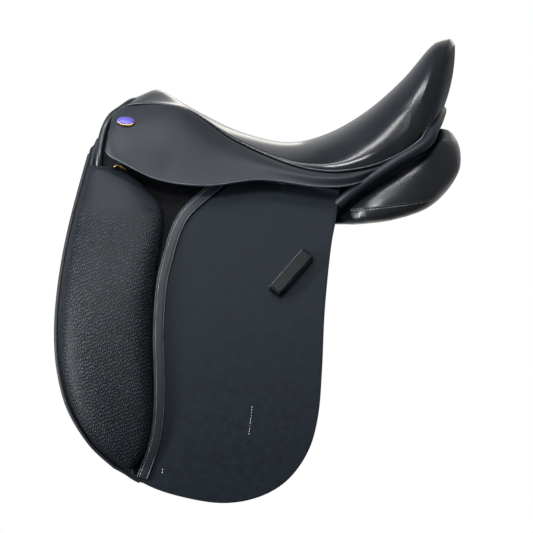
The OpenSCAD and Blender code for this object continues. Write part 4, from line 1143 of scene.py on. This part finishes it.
roll_line = [Vector((x * SEAT_RUN, y, z)) for x, y, z in (
    (0.14, 108, 14), (0.172, 124, 23.5), (0.235, 131, 42), (0.33, 127, 69), (0.43, 112, 97),
    (0.458, 84, 121), (0.475, 42, 139), (0.48, 0, 146))]


def panel_roll_at(u):
    """Place on the roll's middle line, lifted most where it passes over the panel's side"""
    return curve_at(roll_line, u) + Vector((0, 0, 3.5 + 6 * math.sin(math.pi * min(1, 70 * u / 55))))


half = [panel_roll_at(k / 70) for k in range(8, 71)]
whole = half + [p * MIRROR for p in reversed(half[:-1])]
roll = piece("panel_roll_leather", cord(whole, PANEL_ROLL_R, 14), [trim_leather],
             ["panel_roll"])

# %% [markdown]
# Girth webs carry the straps and are plain flat bands of flax web, modelled directly as bent sheets.

# %% Girth webs
WEB_N, WEB_TOP_Z, WEB_LOW_Z, WEB_T, STRAP_W = -9.6, 64, 22, 3.0, 28


def web_shape(share):
    def place(s, t):
        return barrel_at((share * SEAT_RUN + (s - 0.5) * STRAP_W, mix(WEB_LOW_Z, WEB_TOP_Z, t)), WEB_N)
    return thicken(sheet(6, 12, place, (0, 1, 0)), WEB_T, 0.5, 2)


pair("girth_web_flax", lambda: joined(web_shape(-0.2), web_shape(-0.036), 0), [webbing, webbing],
     ["girth_webs_{}"], angle=40)

# %% [markdown]
# The nail button is a brass oval with a fired enamel cap. The cap is a low dome, cut from a flattened
# sphere. Its face is left plain.

# %% Nail buttons
BUTTON_L, BUTTON_W, BUTTON_FOOT, BUTTON_SLANT, CAP_INSET = 24, 15, 0.55, 98, 0.7
button_normal = skirt_normal(0.128, 0.31)
button_turn = (Matrix.Rotation(math.atan2(button_normal.y, button_normal.x), 4, "Z")
               @ Matrix.Rotation(math.acos(button_normal.z), 4, "Y")
               @ Matrix.Rotation(math.radians(BUTTON_SLANT), 4, "Z"))
button_place = (Matrix.Translation(skirt_point(0.128, 0.31) + BUTTON_FOOT * button_normal) @ button_turn
                @ Matrix.Translation((0, 0, 2.4)))


def cap_shape():
    shape = bmesh.new()
    bmesh.ops.create_uvsphere(shape, u_segments=40, v_segments=24, radius=1)
    bmesh.ops.scale(shape, vec=(BUTTON_L / 2 - CAP_INSET, BUTTON_W / 2 - CAP_INSET, 2.2), verts=shape.verts)
    everything = shape.verts[:] + shape.edges[:] + shape.faces[:]
    bmesh.ops.bisect_plane(shape, geom=everything, plane_co=(0, 0, 0), plane_no=(0, 0, 1), clear_inner=True)
    bmesh.ops.holes_fill(shape, edges=[edge for edge in shape.edges if edge.is_boundary])
    bmesh.ops.recalc_face_normals(shape, faces=shape.faces)
    bmesh.ops.transform(shape, matrix=button_place, verts=shape.verts)
    return shape


pair("button_enamel_cap", cap_shape, [enamel], ["button_cap_{}"])

# %% [markdown]
# A bent brass staple holds the dee's chape. Its back shows as a sliver of brass under the skirt, in the gap
# above the flap. A short cord with both ends turned in makes it.

# %% Dee staples
STAPLE_R = 1.7
staple = [((113.2, 168.6), 1), ((115.2, 166.4), 6), ((119.3, 165.7), 7.2), ((123, 167.4), 7.2),
          ((125.6, 169.8), 5), ((126.4, 171.5), 1)]
staple_line = [barrel_at(photo_place(*p), n) for p, n in staple]
staple_path = [curve_at(staple_line, k / 30) for k in range(31)]
pair("dee_staple_brass", lambda: cord(staple_path, STAPLE_R, 10), [brass])

# %% [markdown]
# Tree, springs, bars and fittings are rigid and have their right shape in the CAD model. They keep their
# nodes, with the edges rounded by modifiers and the finish of their real material.

# %% Rigid CAD nodes
def dress(node, finish, width):
    part = frame["nodes"][node]
    part.data.materials.clear()
    part.data.materials.append(finish)
    weld = part.modifiers.new("weld", "WELD")
    weld.merge_threshold = 0.01 * MM
    bevel = part.modifiers.new("round", "BEVEL")
    bevel.width, bevel.segments, bevel.limit_method = width * MM, 2, "ANGLE"
    bevel.angle_limit = math.radians(50)
    part.data.shade_smooth()
    part.data.set_sharp_from_angle(angle=math.radians(40))


for node in ("tree_head", "tree_cantle", "tree_rail_left", "tree_rail_right", "tree_point_left",
             "tree_point_right"):
    dress(node, beech, 0.8)
for node in ("gullet_plate", "gullet_rivets", "spring_left", "spring_right", "stirrup_bar_left",
             "stirrup_bar_right", "bar_catch_left", "bar_catch_right", "catch_pins", "bar_rivets"):
    dress(node, steel, 0.4)
for node in ("dee_left", "dee_right", "button_stud_left", "button_stud_right"):
    dress(node, brass, 0.25)
shown = [name for name, part in frame["nodes"].items() if not part.hide_render]
print("CAD nodes that show", len(shown), shown)
